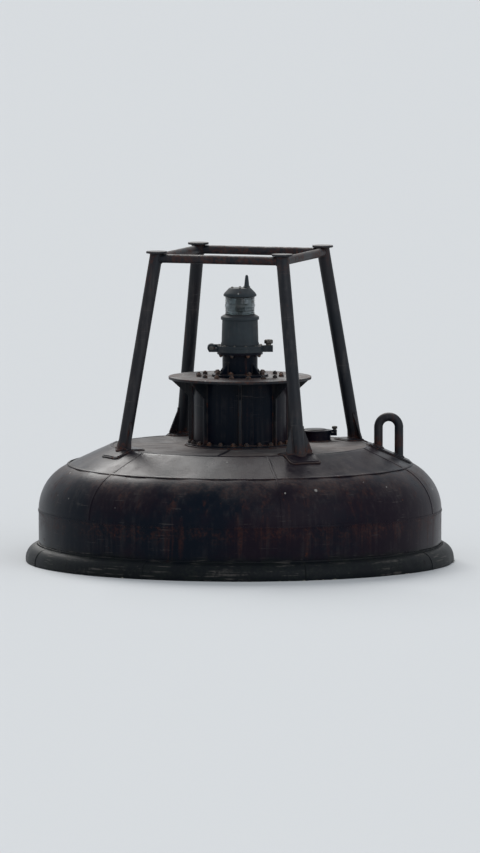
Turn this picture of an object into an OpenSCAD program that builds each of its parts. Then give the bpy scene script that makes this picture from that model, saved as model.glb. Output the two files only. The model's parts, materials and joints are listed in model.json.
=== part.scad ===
// Steel navigation buoy: a decked round float with a lantern cage, a battery drum, a hinged
// lantern, a lifting eye and a ballasted tail with its mooring lug.
// The origin is the float's centre at the waterline, +Z is up and +X points to the lifting eye.
// All sizes are in millimetres and all angles in degrees.

/* [Float] */
// Radius of the float's side plating
hull_r = 1200; // [1100:10:1350]
// Height of the top of the vertical side above the waterline
side_top = 306; // [270:1:340]
// Depth of the foot of the vertical side below the waterline
side_foot = 250; // [200:1:320]
// Radius of the bend between the side and the shoulder
shoulder_r = 300; // [220:5:320]
// Height of the flat deck above the waterline
deck_z = 690; // [660:1:720]
// Radius of the flat deck
deck_r = 775; // [740:5:790]
// Thickness of the deck plate
deck_t = 12; // [8:1:16]
// Radius of the bend between the side and the bottom
bilge_r = 180; // [120:5:220]
// Slope of the conical bottom
bottom_slope = 10; // [6:1:14]
// Radius of the half pipe that makes the rubbing strake
strake_pipe_r = 85; // [60:1:100]
// How far the strake stands out from the side
strake_proud = 78; // [50:1:84]
// Height of the middle of the strake above the waterline
strake_z = 20; // [0:1:60]

/* [Cage] */
// Azimuth of the first leg
leg_az = 26.8; // [20:0.1:34]
// Radius of a leg's tube
leg_tube_r = 38; // [30:1:44]
// Distance of a leg's middle from the axis, at the deck
leg_foot_r = 773; // [740:1:790]
// Distance of a leg's middle from the axis, under its cap
leg_top_r = 553; // [500:1:600]
// Height of the underside of the leg caps above the waterline
cap_z = 1852; // [1800:1:1950]
// Radius of a leg's cap plate
cap_r = 62; // [50:1:70]
// Thickness of a leg's cap plate
cap_t = 12; // [8:1:16]
// Radius of the tube of the top rails
rail_r = 26; // [20:1:32]
// Depth of the middle of the rails under the caps
rail_drop = 30; // [28:1:60]
// Width of the doubler plate under each leg
doubler_w = 190; // [150:1:220]
// Corner radius of the doubler plates
doubler_corner = 24; // [10:1:40]
// Thickness of the doubler plates
doubler_t = 12; // [8:1:16]
// Reach of a foot gusset from the leg's middle
gusset_reach = 86; // [70:1:92]
// Height of a foot gusset above the deck
gusset_h = 170; // [120:1:220]
// Thickness of the gussets
gusset_t = 10; // [8:1:14]

/* [Battery drum] */
// Radius of the drum
drum_r = 280; // [240:1:300]
// Height of the drum, from its base flange to the service plate
drum_h = 379; // [330:1:430]
// How far the base flange stands out from the drum
drum_flange = 40; // [30:1:60]
// Thickness of the base flange
drum_flange_t = 16; // [10:1:24]
// Number of ribs round the drum
rib_count = 8; // [4:1:12]
// How far a rib stands out from the drum
rib_proud = 26; // [15:1:35]
// Thickness of a rib
rib_t = 12; // [8:1:16]
// Height of the bracket that flares from each rib to the plate's edge
rib_flare_h = 100; // [70:1:130]
// Radius of the service plate
plate_r = 425; // [380:1:460]
// Thickness of the service plate
plate_t = 16; // [10:1:24]
// How far the bracket stops short of the plate's edge
rib_margin = 22; // [10:1:40]

/* [Pedestal] */
// Radius of the pedestal's tube
post_r = 105; // [90:1:115]
// Height of the pedestal between its flanges
post_h = 118; // [100:1:160]
// Radius of the pedestal's base flange
post_foot_r = 168; // [150:1:180]
// Radius of the pedestal's head flange
post_head_r = 136; // [128:1:138]
// Thickness of the pedestal's flanges
post_flange_t = 14; // [10:1:18]

/* [Lantern] */
// Radius of the fixed base and of the hinged body's flange
lantern_flange_r = 140; // [136:1:150]
// Thickness of the fixed base
lantern_base_t = 24; // [20:1:30]
// Thickness of the hinged body's flange
lantern_flange_t = 14; // [12:1:18]
// Radius of the hinged body
body_r = 110; // [100:1:114]
// Height of the hinged body, from its lower face to the lens
body_h = 197; // [170:1:220]
// Outer radius of the lens
lens_r = 90; // [84:1:96]
// Thickness of the lens wall, to its outer radius
lens_wall = 16; // [14:1:20]
// Height of the lens
lens_h = 110; // [96:2:140]
// Number of prism rings above and below the middle belt
prism_count = 3; // [2:1:5]
// Depth of the prisms
prism_depth = 6; // [4:0.5:8]
// Radius of the lamp's ring of lights
lamp_r = 30; // [24:1:40]
// Radius of the lamp's post
lamp_post_r = 14; // [10:1:18]
// Radius of the lamp's foot
lamp_foot_r = 34; // [28:1:40]
// Radius of the lantern's cap
lantern_cap_r = 98; // [96:1:106]
// Radius of the flat top of the lantern's cap
cap_top_r = 62; // [60:1:72]
// Height of the lantern's cap
lantern_cap_h = 50; // [40:1:60]
// Height of the stub aerial above the cap
aerial_h = 76; // [50:1:90]
// Distance of the aerial from the axis
aerial_x = 40; // [30:1:42]

/* [Hinges and hand screws] */
// Radius of the lantern's hinge knuckles
knuckle_r = 24; // [20:1:26]
// Radius of the lantern's hinge pin
pin_r = 8; // [6:0.5:10]
// Distance between the flange's edge and the hinge's axis
hinge_out = 30; // [29:1:40]
// Width of the middle knuckle, on the hinged part
knuckle_w = 26; // [20:1:34]
// Width of each outer knuckle, on the fixed part
ear_w = 18; // [12:1:24]
// Radial clearance between a pin and the knuckle that turns on it
pin_clear = 0.05; // [0.02:0.01:0.1]
// Gap between knuckles, side by side
knuckle_gap = 1; // [0.6:0.1:2]
// Gap between a piece and a seat that it lifts from or is welded to
seat_gap = 0.3; // [0.2:0.1:0.5]
// Radius of the lantern's hand screw
screw_r = 6; // [5:0.5:7]
// Radius of the lantern's hand-screw knob
knob_r = 27; // [22:1:28]
// Height of the lantern's hand-screw knob
knob_h = 34; // [24:1:40]
// Clearance round a hand screw's shank in its lug
screw_clear = 3; // [2.5:0.1:4]

/* [Lifting eye] */
// Distance of the eye's middle from the flat deck's edge
eye_out = 110; // [90:1:120]
// Radius of the eye's round bar
eye_bar_r = 26; // [20:1:28]
// Radius of the eye's bend, to the middle of the bar
eye_bend_r = 61; // [56:1:66]
// Height of the eye's top above the waterline
eye_top = 884; // [860:1:920]
// Length of the pad under the eye
eye_pad_l = 250; // [230:1:270]
// Width of the pad under the eye
eye_pad_w = 130; // [110:1:160]

/* [Valve box] */
// Distance of the valve box's middle inside the circle of the leg feet
valve_in = 232; // [225:1:240]
// Turn of the valve box round the deck from the first leg
valve_turn = 7; // [0:0.5:9]
// Outer radius of the coaming
coaming_r = 92; // [84:1:96]
// Thickness of the coaming's wall
coaming_t = 12; // [8:1:14]
// Height of the coaming above the deck
coaming_h = 52; // [46:1:60]
// How far the lid stands out past the coaming
lid_lip = 6; // [4:1:10]
// Thickness of the lid
lid_t = 12; // [10:1:16]
// Radius of the lid's knuckles
lid_knuckle_r = 12; // [10:0.5:13]
// Radius of the lid's hinge pin
lid_pin_r = 5; // [4:0.5:6]
// Distance between the lid's edge and its hinge axis
lid_hinge_out = 18; // [18:1:24]
// Width of the lid's middle knuckle
lid_knuckle_w = 20; // [16:1:26]
// Width of each of the lid's outer knuckles
lid_ear_w = 10; // [8:1:14]
// Radius of the lid's hand screw
lid_screw_r = 5; // [4:0.5:5.5]
// Radius of the lid's hand-screw knob
lid_knob_r = 17; // [14:1:18]

/* [Tail] */
// Radius of the tail tube
tail_r = 300; // [260:5:340]
// Depth of the foot of the tail tube below the waterline
tail_foot = 1480; // [1300:10:1700]
// Depth of the tail tube's seat in the bottom
tail_seat = 20; // [10:1:40]
// Radius of the tail's foot flange
tail_flange_r = 380; // [360:5:420]
// Thickness of the tail's foot flange
tail_flange_t = 25; // [20:1:30]
// Number of gussets between the tail and the float
tail_gusset_count = 6; // [4:1:8]
// Reach of a tail gusset from the axis
tail_gusset_r = 720; // [600:10:800]
// Length of a tail gusset along the tube
tail_gusset_h = 360; // [300:10:420]
// Thickness of a tail gusset
tail_gusset_t = 16; // [12:1:20]
// Radius of the ballast weights
ballast_r = 372; // [340:1:400]
// Thickness of each ballast weight
ballast_t = 70; // [60:1:90]
// Chamfer on the edges of a ballast weight
ballast_chamfer = 8; // [4:1:12]
// Radius of the keel plate under the ballast
keel_r = 290; // [260:5:320]
// Thickness of the keel plate
keel_t = 20; // [16:1:28]
// Thickness of the mooring lug
lug_t = 50; // [40:1:60]
// Outer radius of the mooring lug round its bore
lug_r = 85; // [75:1:95]
// Radius of the mooring lug's bore
lug_bore_r = 35; // [30:0.5:40]
// Depth of the bore under the keel plate
lug_drop = 120; // [110:1:150]
// Half width of the mooring lug at the keel plate
lug_root = 150; // [130:1:180]
// Number of zinc anodes
anode_count = 4; // [2:1:6]
// Length of an anode along the side
anode_l = 300; // [200:10:400]
// Height of an anode
anode_h = 70; // [50:1:90]
// How far an anode stands out from the side
anode_proud = 40; // [30:1:60]
// Depth of the middle of the anodes below the waterline
anode_depth = 170; // [140:1:200]

/* [Hidden] */
$fn = 96;
steel = [0.13, 0.11, 0.11];
deck_grey = [0.24, 0.22, 0.21];
black_steel = [0.07, 0.07, 0.08];
far = 3 * hull_r;

// The bend's centre, and the point where the shoulder's cone runs into the bend
bend_c = [hull_r - shoulder_r, side_top];
to_bend = bend_c - [deck_r, deck_z];
shoulder_slope = -(atan2(to_bend[1], to_bend[0]) + asin(shoulder_r / norm(to_bend)));
bend_start = bend_c + shoulder_r * [sin(shoulder_slope), cos(shoulder_slope)];

// The bilge's centre, the point where it runs into the bottom's cone, and the cone's foot
bilge_c = [hull_r - bilge_r, -side_foot];
bilge_end = bilge_c + bilge_r * [sin(bottom_slope), -cos(bottom_slope)];
bottom_z = bilge_end[1] - (bilge_end[0] - tail_r) * tan(bottom_slope);
strake_c = hull_r + strake_proud - strake_pipe_r;

leg_count = 4;
leg_lean = atan((leg_foot_r - leg_top_r) / (cap_z - deck_z));
leg_len = (cap_z - deck_z) / cos(leg_lean);
rail_z = cap_z - rail_drop;
rail_corner_r = leg_foot_r - (rail_z - deck_z) * tan(leg_lean);

drum_z = deck_z + drum_flange_t;
plate_z = drum_z + drum_h;
post_z = plate_z + plate_t;
post_top = post_z + post_h + 2 * post_flange_t;
head_z = post_top + lantern_base_t;
head_foot = head_z + seat_gap;
lens_z = head_foot + body_h;
lantern_cap_z = lens_z + lens_h;
aerial_z = lantern_cap_z + lantern_cap_h;

hinge_x = lantern_flange_r + hinge_out;
latch_x = lantern_flange_r + hinge_out;
lug_half_w = 24;
latch_end = latch_x + 26;

valve_place = (leg_foot_r - valve_in) * [cos(leg_az + valve_turn), sin(leg_az + valve_turn)];
lid_r = coaming_r + lid_lip;
lid_z = deck_z + coaming_h + seat_gap;
lid_hinge_x = lid_r + lid_hinge_out;
lid_hinge_z = coaming_h + 2;
lid_latch_x = lid_r + 18;

eye_x = deck_r + eye_out;
eye_c = eye_top - eye_bar_r - eye_bend_r;
tail_end = -tail_foot - tail_flange_t;
keel_top = tail_end - 3 * ballast_t;
keel_z = keel_top - keel_t;
lug_z = keel_z - lug_drop;

// Sector of a disc of radius r about c, between the angles a0 and a1
module sector(c, r, a0, a1) {
    reach = 2 * r;
    mid = (a0 + a1) / 2;
    intersection() {
        translate(c) circle(r);
        polygon([for (p = [[0, 0], [1, a0], [1.2, mid], [1, a1]])
            c + reach * p[0] * [cos(p[1]), sin(p[1])]]);
    }
}

// Region under the deck, the shoulder and its bend, raised by t square to the plating
module topside_outline(t) {
    lift = t * [sin(shoulder_slope), cos(shoulder_slope)];
    union() {
        polygon([
            [0, side_top], [bend_start[0] + lift[0], side_top], bend_start + lift,
            [deck_r + t * tan(shoulder_slope / 2), deck_z + t], [0, deck_z + t]
        ]);
        sector(bend_c, shoulder_r + t, 0, 90 - shoulder_slope);
    }
}

module topside(t) {
    rotate_extrude() topside_outline(t);
}

// Plate of thickness t that follows the deck and the shoulder inside the outline given
module bent_plate(t) {
    intersection() {
        translate([0, 0, side_top]) linear_extrude(deck_z) children();
        rotate_extrude() difference() {
            topside_outline(t);
            topside_outline(0);
        }
    }
}

// Rectangle with round corners, from two bars and four circles
module round_rect(w, h, r) {
    square([w - 2 * r, h], center = true);
    square([w, h - 2 * r], center = true);
    for (x = [-1, 1], y = [-1, 1]) translate([x * (w / 2 - r), y * (h / 2 - r)]) circle(r);
}

// Flat plate in the plane of X and Z, its outline drawn as x and z, its thickness along Y
module upright(t) {
    rotate([90, 0, 0]) linear_extrude(t, center = true) children();
}

module hull_side() {
    color(steel) translate([0, 0, -side_foot]) cylinder(r = hull_r, h = side_foot + side_top);
}

module hull_shoulder() {
    color(steel) rotate_extrude() difference() {
        topside_outline(0);
        translate([-1, deck_z - deck_t]) square([deck_r - deck_t + 1, deck_t + 1]);
    }
}

module deck_plate() {
    color(deck_grey) translate([0, 0, deck_z - deck_t]) cylinder(r = deck_r - deck_t, h = deck_t);
}

module hull_bottom() {
    color(steel) rotate_extrude() difference() {
        union() {
            polygon([
                [0, bottom_z], [tail_r, bottom_z], bilge_end, [bilge_end[0], -side_foot],
                [0, -side_foot]
            ]);
            sector(bilge_c, bilge_r, bottom_slope - 90, 0);
        }
        translate([-1, bottom_z - 1]) square([tail_r + 1, tail_seat + 1]);
    }
}

module rubbing_strake() {
    color(black_steel) rotate_extrude() intersection() {
        translate([strake_c, strake_z]) circle(strake_pipe_r);
        translate([hull_r, strake_z - strake_pipe_r]) square([strake_proud + 1, 2 * strake_pipe_r]);
    }
}

// Frame of a leg: +Z along its tube, +Y round the deck
module on_leg(i) {
    rotate([0, 0, leg_az + 90 * (i - 1)]) translate([leg_foot_r, 0, deck_z])
        rotate([0, -leg_lean, 0]) children();
}

module leg_bar(i, spare, r) {
    on_leg(i) translate([0, 0, -spare]) cylinder(r = r, h = leg_len + 2 * spare);
}

module foot_doublers() {
    color(steel) bent_plate(doubler_t) for (i = [1 : leg_count])
        rotate(leg_az + 90 * (i - 1)) translate([leg_foot_r, 0])
            round_rect(doubler_w, doubler_w, doubler_corner);
}

module leg(i) {
    buried = 90;
    color(black_steel) difference() {
        union() {
            leg_bar(i, buried, leg_tube_r);
            on_leg(i) rotate([0, 0, 90]) upright(gusset_t) polygon([
                [-gusset_reach, -buried / 2], [gusset_reach, -buried / 2],
                [gusset_reach, 2 * doubler_t], [leg_tube_r, gusset_h], [-leg_tube_r, gusset_h],
                [-gusset_reach, 2 * doubler_t]
            ]);
        }
        topside(doubler_t);
        translate([-far / 2, -far / 2, cap_z]) cube([far, far, buried * 2]);
    }
}

module leg_caps() {
    color(black_steel) for (i = [1 : leg_count]) rotate([0, 0, leg_az + 90 * (i - 1)])
        translate([leg_top_r, 0, cap_z]) cylinder(r = cap_r, h = cap_t);
}

module rail(i) {
    half = rail_corner_r * sin(45);
    color(black_steel) difference() {
        rotate([0, 0, leg_az + 90 * (i - 1) + 45]) translate([half, half, rail_z])
            rotate([90, 0, 0]) cylinder(r = rail_r, h = 2 * half);
        for (k = [i, i % leg_count + 1]) leg_bar(k, leg_tube_r, leg_tube_r + seat_gap);
    }
}

module drum_base() {
    color(steel) translate([0, 0, deck_z])
        cylinder(r = drum_r + drum_flange, h = drum_flange_t);
}

module battery_drum() {
    color(steel) translate([0, 0, drum_z]) cylinder(r = drum_r, h = drum_h);
}

module drum_ribs() {
    rib_r = drum_r + rib_proud;
    inside = drum_r - 20;
    color(black_steel) difference() {
        for (i = [0 : rib_count - 1]) rotate([0, 0, i * 360 / rib_count]) upright(rib_t) polygon([
            [inside, drum_z], [rib_r, drum_z], [rib_r, plate_z - rib_flare_h],
            [plate_r - rib_margin, plate_z - rib_t], [plate_r - rib_margin, plate_z],
            [inside, plate_z]
        ]);
        translate([0, 0, drum_z - 1]) cylinder(r = drum_r + seat_gap, h = drum_h + 2);
    }
}

module service_plate() {
    color(black_steel) translate([0, 0, plate_z]) cylinder(r = plate_r, h = plate_t);
}

module pedestal() {
    color(steel) {
        translate([0, 0, post_z]) cylinder(r = post_foot_r, h = post_flange_t);
        translate([0, 0, post_z + post_flange_t]) cylinder(r = post_r, h = post_h);
        translate([0, 0, post_top - post_flange_t]) cylinder(r = post_head_r, h = post_flange_t);
    }
}

module pedestal_gussets() {
    foot = post_z + post_flange_t;
    inside = post_r - 10;
    color(steel) difference() {
        for (i = [0 : 3]) rotate([0, 0, 45 + 90 * i]) upright(gusset_t) polygon([
            [inside, foot], [post_foot_r - 8, foot], [post_foot_r - 8, foot + 12],
            [post_r, foot + 0.6 * post_h], [inside, foot + 0.6 * post_h]
        ]);
        translate([0, 0, foot - 1]) cylinder(r = post_r + seat_gap, h = post_h);
    }
}

// Outer knuckles and their webs, beside the middle knuckle
module lantern_ears() {
    ear_y = knuckle_w / 2 + knuckle_gap + ear_w / 2;
    for (s = [-1, 1]) translate([-hinge_x, s * ear_y, head_z]) upright(ear_w) {
        circle(knuckle_r);
        polygon([
            [-knuckle_r * 0.6, -lantern_base_t], [hinge_out + 12, -lantern_base_t],
            [hinge_out + 12, -4], [0, -4], [-knuckle_r * 0.8, -knuckle_r * 0.6]
        ]);
    }
}

module lantern_base() {
    color(black_steel) difference() {
        union() {
            translate([0, 0, post_top]) cylinder(r = lantern_flange_r, h = lantern_base_t);
            lantern_ears();
            translate([0, -lug_half_w, post_top]) cube([latch_end, 2 * lug_half_w, lantern_base_t]);
        }
        translate([-hinge_x, 0, head_z]) rotate([90, 0, 0])
            cylinder(r = pin_r, h = 4 * knuckle_w, center = true);
        translate([latch_x, 0, post_top - 1])
            cylinder(r = screw_r + screw_clear, h = lantern_base_t + 2);
    }
}

module hinge_pin() {
    half = knuckle_w / 2 + knuckle_gap + ear_w;
    color("dimgray") translate([-hinge_x, 0, head_z]) rotate([90, 0, 0]) {
        cylinder(r = pin_r, h = 2 * half, center = true);
        for (s = [0, 1]) mirror([0, 0, s]) translate([0, 0, half]) cylinder(r = pin_r + 5, h = 5);
    }
}

module lantern_body() {
    bead = 4;
    skirt_h = lantern_flange_t + 12;
    collar_z = lens_z - 2 * lantern_flange_t;
    color(black_steel) difference() {
        union() {
            rotate_extrude() polygon([
                [0, head_foot], [lantern_flange_r, head_foot],
                [lantern_flange_r, head_foot + lantern_flange_t],
                [body_r + bead, head_foot + lantern_flange_t], [body_r + bead, head_foot + skirt_h],
                [body_r, head_foot + skirt_h + 2 * bead], [body_r - bead, collar_z - bead],
                [body_r + bead, collar_z], [body_r + bead, lens_z - 3 * bead],
                [lens_r + bead, lens_z], [0, lens_z]
            ]);
            translate([-hinge_x, 0, head_foot]) upright(knuckle_w) {
                translate([0, -seat_gap]) circle(knuckle_r);
                square([hinge_out + 20, lantern_flange_t + 6]);
            }
            translate([0, -lug_half_w, head_foot])
                cube([latch_end, 2 * lug_half_w, lantern_flange_t]);
        }
        translate([-hinge_x, 0, head_z]) rotate([90, 0, 0])
            cylinder(r = pin_r + pin_clear, h = 4 * knuckle_w, center = true);
        translate([latch_x, 0, head_foot - 1])
            cylinder(r = screw_r + seat_gap, h = lantern_flange_t + 2);
    }
}

// Wall of the lens: a bulged middle belt between rings of prisms, one outline up its outside
module lens() {
    belt = lens_h / 4;
    ring_h = (lens_h - belt) / 2 / prism_count;
    mid = lens_z + lens_h / 2;
    root_r = lens_r - prism_depth;
    tooth = 1;
    color([0.55, 0.62, 0.64, 0.5]) rotate_extrude() polygon([
        [lens_r - lens_wall, lens_z],
        for (k = [prism_count - 1 : -1 : 0]) each [
            [root_r, mid - belt / 2 - (k + 1) * ring_h],
            [lens_r - tooth, mid - belt / 2 - k * ring_h - tooth]
        ],
        [root_r, mid - belt / 2], [lens_r, mid - belt / 5],
        [lens_r, mid + belt / 5], [root_r, mid + belt / 2],
        for (k = [0 : prism_count - 1]) each [
            [lens_r - tooth, mid + belt / 2 + k * ring_h + tooth],
            [root_r, mid + belt / 2 + (k + 1) * ring_h]
        ],
        [lens_r - lens_wall, lens_z + lens_h]
    ]);
}

module lamp() {
    foot_h = 8;
    ring_foot = 0.3 * lens_h;
    ring_top = 0.7 * lens_h;
    color("gray") rotate_extrude() polygon([
        [0, lens_z], [lamp_foot_r, lens_z], [lamp_foot_r, lens_z + foot_h],
        [lamp_post_r, lens_z + 1.5 * foot_h], [lamp_post_r, lens_z + ring_foot - foot_h / 2],
        [lamp_r, lens_z + ring_foot], [lamp_r, lens_z + ring_top],
        [lamp_r - foot_h, lens_z + ring_top + foot_h], [0, lens_z + ring_top + foot_h]
    ]);
}

module lantern_cap() {
    rim_h = lantern_cap_h / 5;
    eave = 2;
    color(black_steel) rotate_extrude() polygon([
        [0, lantern_cap_z], [lantern_cap_r - eave, lantern_cap_z],
        [lantern_cap_r, lantern_cap_z + eave], [lantern_cap_r, lantern_cap_z + rim_h],
        [lantern_cap_r - 3 * eave, lantern_cap_z + 2 * rim_h],
        [cap_top_r + 3 * eave, aerial_z - rim_h / 2], [cap_top_r, aerial_z], [0, aerial_z]
    ]);
}

module aerial() {
    color(black_steel) translate([aerial_x, 0, aerial_z]) rotate_extrude() polygon([
        [0, 0], [20, 0], [20, 8], [15, 12], [9, aerial_h - 8], [5, aerial_h], [0, aerial_h]
    ]);
}

// Knob with its shank, its seat at the origin and the shank's foot at -drop
module screw_knob(shank_r, knob_r, knob_h, drop) {
    rotate_extrude() polygon([
        [0, -drop], [shank_r - 1, -drop], [shank_r, 1 - drop], [shank_r, 0],
        [0.6 * knob_r, 0], [0.6 * knob_r, 0.25 * knob_h], [knob_r, 0.35 * knob_h],
        [knob_r, 0.85 * knob_h], [0.85 * knob_r, knob_h], [0, knob_h]
    ]);
}

module hand_screw() {
    seat = head_foot + lantern_flange_t;
    color("dimgray") translate([latch_x, 0, seat])
        screw_knob(screw_r, knob_r, knob_h, lantern_flange_t + lantern_base_t);
}

module lifting_pad() {
    color(steel) bent_plate(doubler_t) translate([eye_x, 0])
        round_rect(eye_pad_l, eye_pad_w, doubler_corner);
}

module lifting_eye() {
    color(black_steel) difference() {
        translate([eye_x, 0, eye_c]) {
            rotate([90, 0, 0]) rotate_extrude(angle = 180)
                translate([eye_bend_r, 0]) circle(eye_bar_r);
            for (s = [-1, 1]) translate([s * eye_bend_r, 0, -eye_c + bend_start[1]])
                cylinder(r = eye_bar_r, h = eye_c - bend_start[1]);
        }
        topside(doubler_t);
    }
}

// Frame of the valve box: its foot at the deck, its lid's hinge towards -X
module on_valve() {
    translate([valve_place[0], valve_place[1], deck_z]) children();
}

module valve_coaming() {
    ear_y = lid_knuckle_w / 2 + knuckle_gap + lid_ear_w / 2;
    web_in = lid_hinge_x - coaming_r + 4;
    latch_half = 14;
    color(steel) on_valve() difference() {
        union() {
            cylinder(r = coaming_r, h = coaming_h);
            for (s = [-1, 1]) translate([-lid_hinge_x, s * ear_y, 0]) upright(lid_ear_w) {
                translate([0, lid_hinge_z]) circle(lid_knuckle_r);
                polygon([
                    [-lid_knuckle_r, 0], [web_in, 0], [web_in, coaming_h - 16],
                    [lid_knuckle_r, coaming_h - 6], [-lid_knuckle_r, coaming_h]
                ]);
            }
            translate([0, -latch_half, coaming_h - 22])
                cube([lid_latch_x + latch_half, 2 * latch_half, 20]);
        }
        translate([0, 0, -1]) cylinder(r = coaming_r - coaming_t, h = coaming_h + 2);
        translate([-lid_hinge_x, 0, lid_hinge_z]) rotate([90, 0, 0])
            cylinder(r = lid_pin_r, h = 4 * lid_knuckle_w, center = true);
        translate([lid_latch_x, 0, 0]) cylinder(r = lid_screw_r + screw_clear, h = coaming_h + 2);
    }
}

module valve_plug() {
    color("dimgray") on_valve() {
        cylinder(r = 34, h = 6);
        translate([0, 0, 6]) cylinder(r = 20, h = 8, $fn = 6);
    }
}

module valve_lid() {
    latch_half = 14;
    color(steel) on_valve() difference() {
        union() {
            rotate_extrude() polygon([
                [0, coaming_h + seat_gap], [lid_r, coaming_h + seat_gap],
                [lid_r, coaming_h + seat_gap + lid_t - 3], [lid_r - 3, coaming_h + seat_gap + lid_t],
                [lid_r - 26, coaming_h + seat_gap + lid_t], [lid_r - 34, coaming_h + seat_gap + lid_t + 6],
                [0, coaming_h + seat_gap + lid_t + 6]
            ]);
            translate([-lid_hinge_x, 0, 0]) upright(lid_knuckle_w) {
                translate([0, lid_hinge_z]) circle(lid_knuckle_r);
                translate([0, coaming_h + seat_gap]) square([lid_hinge_out + 20, lid_t]);
            }
            translate([0, -latch_half, coaming_h + seat_gap])
                cube([lid_latch_x + latch_half, 2 * latch_half, lid_t]);
        }
        translate([-lid_hinge_x, 0, lid_hinge_z]) rotate([90, 0, 0])
            cylinder(r = lid_pin_r + pin_clear, h = 4 * lid_knuckle_w, center = true);
        translate([lid_latch_x, 0, coaming_h]) cylinder(r = lid_screw_r + seat_gap, h = 2 * lid_t);
    }
}

module valve_pin() {
    half = lid_knuckle_w / 2 + knuckle_gap + lid_ear_w;
    color("dimgray") on_valve() translate([-lid_hinge_x, 0, lid_hinge_z]) rotate([90, 0, 0]) {
        cylinder(r = lid_pin_r, h = 2 * half, center = true);
        for (s = [0, 1]) mirror([0, 0, s]) translate([0, 0, half])
            cylinder(r = lid_pin_r + 3, h = 4);
    }
}

module valve_screw() {
    color("dimgray") on_valve() translate([lid_latch_x, 0, coaming_h + seat_gap + lid_t])
        screw_knob(lid_screw_r, lid_knob_r, 22, lid_t + 18);
}

module tail_tube() {
    color(steel) {
        translate([0, 0, -tail_foot]) cylinder(r = tail_r, h = tail_foot + bottom_z + tail_seat);
        translate([0, 0, tail_end]) cylinder(r = tail_flange_r, h = tail_flange_t);
    }
}

module tail_gussets() {
    toe = 40;
    rise = (tail_gusset_r - tail_r) * tan(bottom_slope);
    color(steel) difference() {
        for (i = [0 : tail_gusset_count - 1]) rotate([0, 0, i * 360 / tail_gusset_count])
            upright(tail_gusset_t) polygon([
                [tail_r - 20, bottom_z + toe], [tail_gusset_r, bottom_z + rise + toe],
                [tail_gusset_r, bottom_z + rise - toe], [tail_r + toe, bottom_z - tail_gusset_h],
                [tail_r - 20, bottom_z - tail_gusset_h]
            ]);
        hull_bottom();
        translate([0, 0, -tail_foot])
            cylinder(r = tail_r + seat_gap, h = tail_foot + bottom_z + 2 * toe);
    }
}

module ballast(i) {
    top = tail_end - (i - 1) * ballast_t;
    color([0.2, 0.16, 0.14]) rotate_extrude() polygon([
        [0, top], [ballast_r - ballast_chamfer, top], [ballast_r, top - ballast_chamfer],
        [ballast_r, top - ballast_t + ballast_chamfer],
        [ballast_r - ballast_chamfer, top - ballast_t], [0, top - ballast_t]
    ]);
}

module keel_plate() {
    color(steel) translate([0, 0, keel_z]) cylinder(r = keel_r, h = keel_t);
}

module mooring_lug() {
    color(black_steel) translate([0, 0, lug_z]) upright(lug_t) difference() {
        union() {
            circle(lug_r);
            polygon([
                [-lug_root, lug_drop], [-0.86 * lug_r, -0.2 * lug_r], [0.86 * lug_r, -0.2 * lug_r],
                [lug_root, lug_drop]
            ]);
        }
        circle(lug_bore_r);
    }
}

module anodes() {
    color("silver") intersection() {
        for (i = [0 : anode_count - 1]) rotate([0, 0, 45 + i * 360 / anode_count])
            translate([hull_r, 0, -anode_depth])
                cube([4 * anode_proud, anode_l, anode_h], center = true);
        rotate_extrude() translate([hull_r, -anode_depth - anode_h])
            square([anode_proud, 2 * anode_h]);
    }
}

hull_side();
hull_shoulder();
deck_plate();
hull_bottom();
rubbing_strake();
foot_doublers();
for (i = [1 : leg_count]) leg(i);
leg_caps();
for (i = [1 : leg_count]) rail(i);
drum_base();
battery_drum();
drum_ribs();
service_plate();
pedestal();
pedestal_gussets();
lantern_base();
hinge_pin();
lantern_body();
lens();
lamp();
lantern_cap();
aerial();
hand_screw();
lifting_pad();
lifting_eye();
valve_coaming();
valve_plug();
valve_lid();
valve_pin();
valve_screw();
tail_tube();
tail_gussets();
for (i = [1 : 3]) ballast(i);
keel_plate();
mooring_lug();
anodes();
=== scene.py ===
import json
import math
from functools import partial
import bmesh
import bpy
import numpy as np
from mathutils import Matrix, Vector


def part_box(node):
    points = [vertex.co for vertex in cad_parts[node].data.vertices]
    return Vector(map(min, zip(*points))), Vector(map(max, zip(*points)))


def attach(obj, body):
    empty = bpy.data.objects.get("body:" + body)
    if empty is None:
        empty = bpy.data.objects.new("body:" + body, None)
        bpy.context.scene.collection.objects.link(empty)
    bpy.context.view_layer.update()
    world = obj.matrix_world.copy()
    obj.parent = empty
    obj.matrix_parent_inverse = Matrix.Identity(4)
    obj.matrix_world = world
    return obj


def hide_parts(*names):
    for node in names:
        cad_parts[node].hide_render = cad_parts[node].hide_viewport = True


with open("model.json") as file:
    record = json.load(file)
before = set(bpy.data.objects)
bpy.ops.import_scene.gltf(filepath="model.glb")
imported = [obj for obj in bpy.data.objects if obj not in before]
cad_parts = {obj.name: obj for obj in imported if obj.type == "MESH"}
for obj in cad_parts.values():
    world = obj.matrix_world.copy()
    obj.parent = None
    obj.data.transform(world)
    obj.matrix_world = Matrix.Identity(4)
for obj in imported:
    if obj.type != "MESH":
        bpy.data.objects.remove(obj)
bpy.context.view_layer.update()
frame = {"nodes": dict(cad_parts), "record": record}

fullTurn = 2 * math.pi
quarterTurn = math.pi / 2
upward = np.array([0, 0, 1.0])


# Sizes read from the frame

def nodeBox(name):
    low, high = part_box(name)
    return np.array(low), np.array(high)


def footOf(name):
    return float(nodeBox(name)[0][2])


def topOf(name):
    return float(nodeBox(name)[1][2])


def nodeRadius(name):
    return round(float(nodeBox(name)[1][0]), 3)


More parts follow.
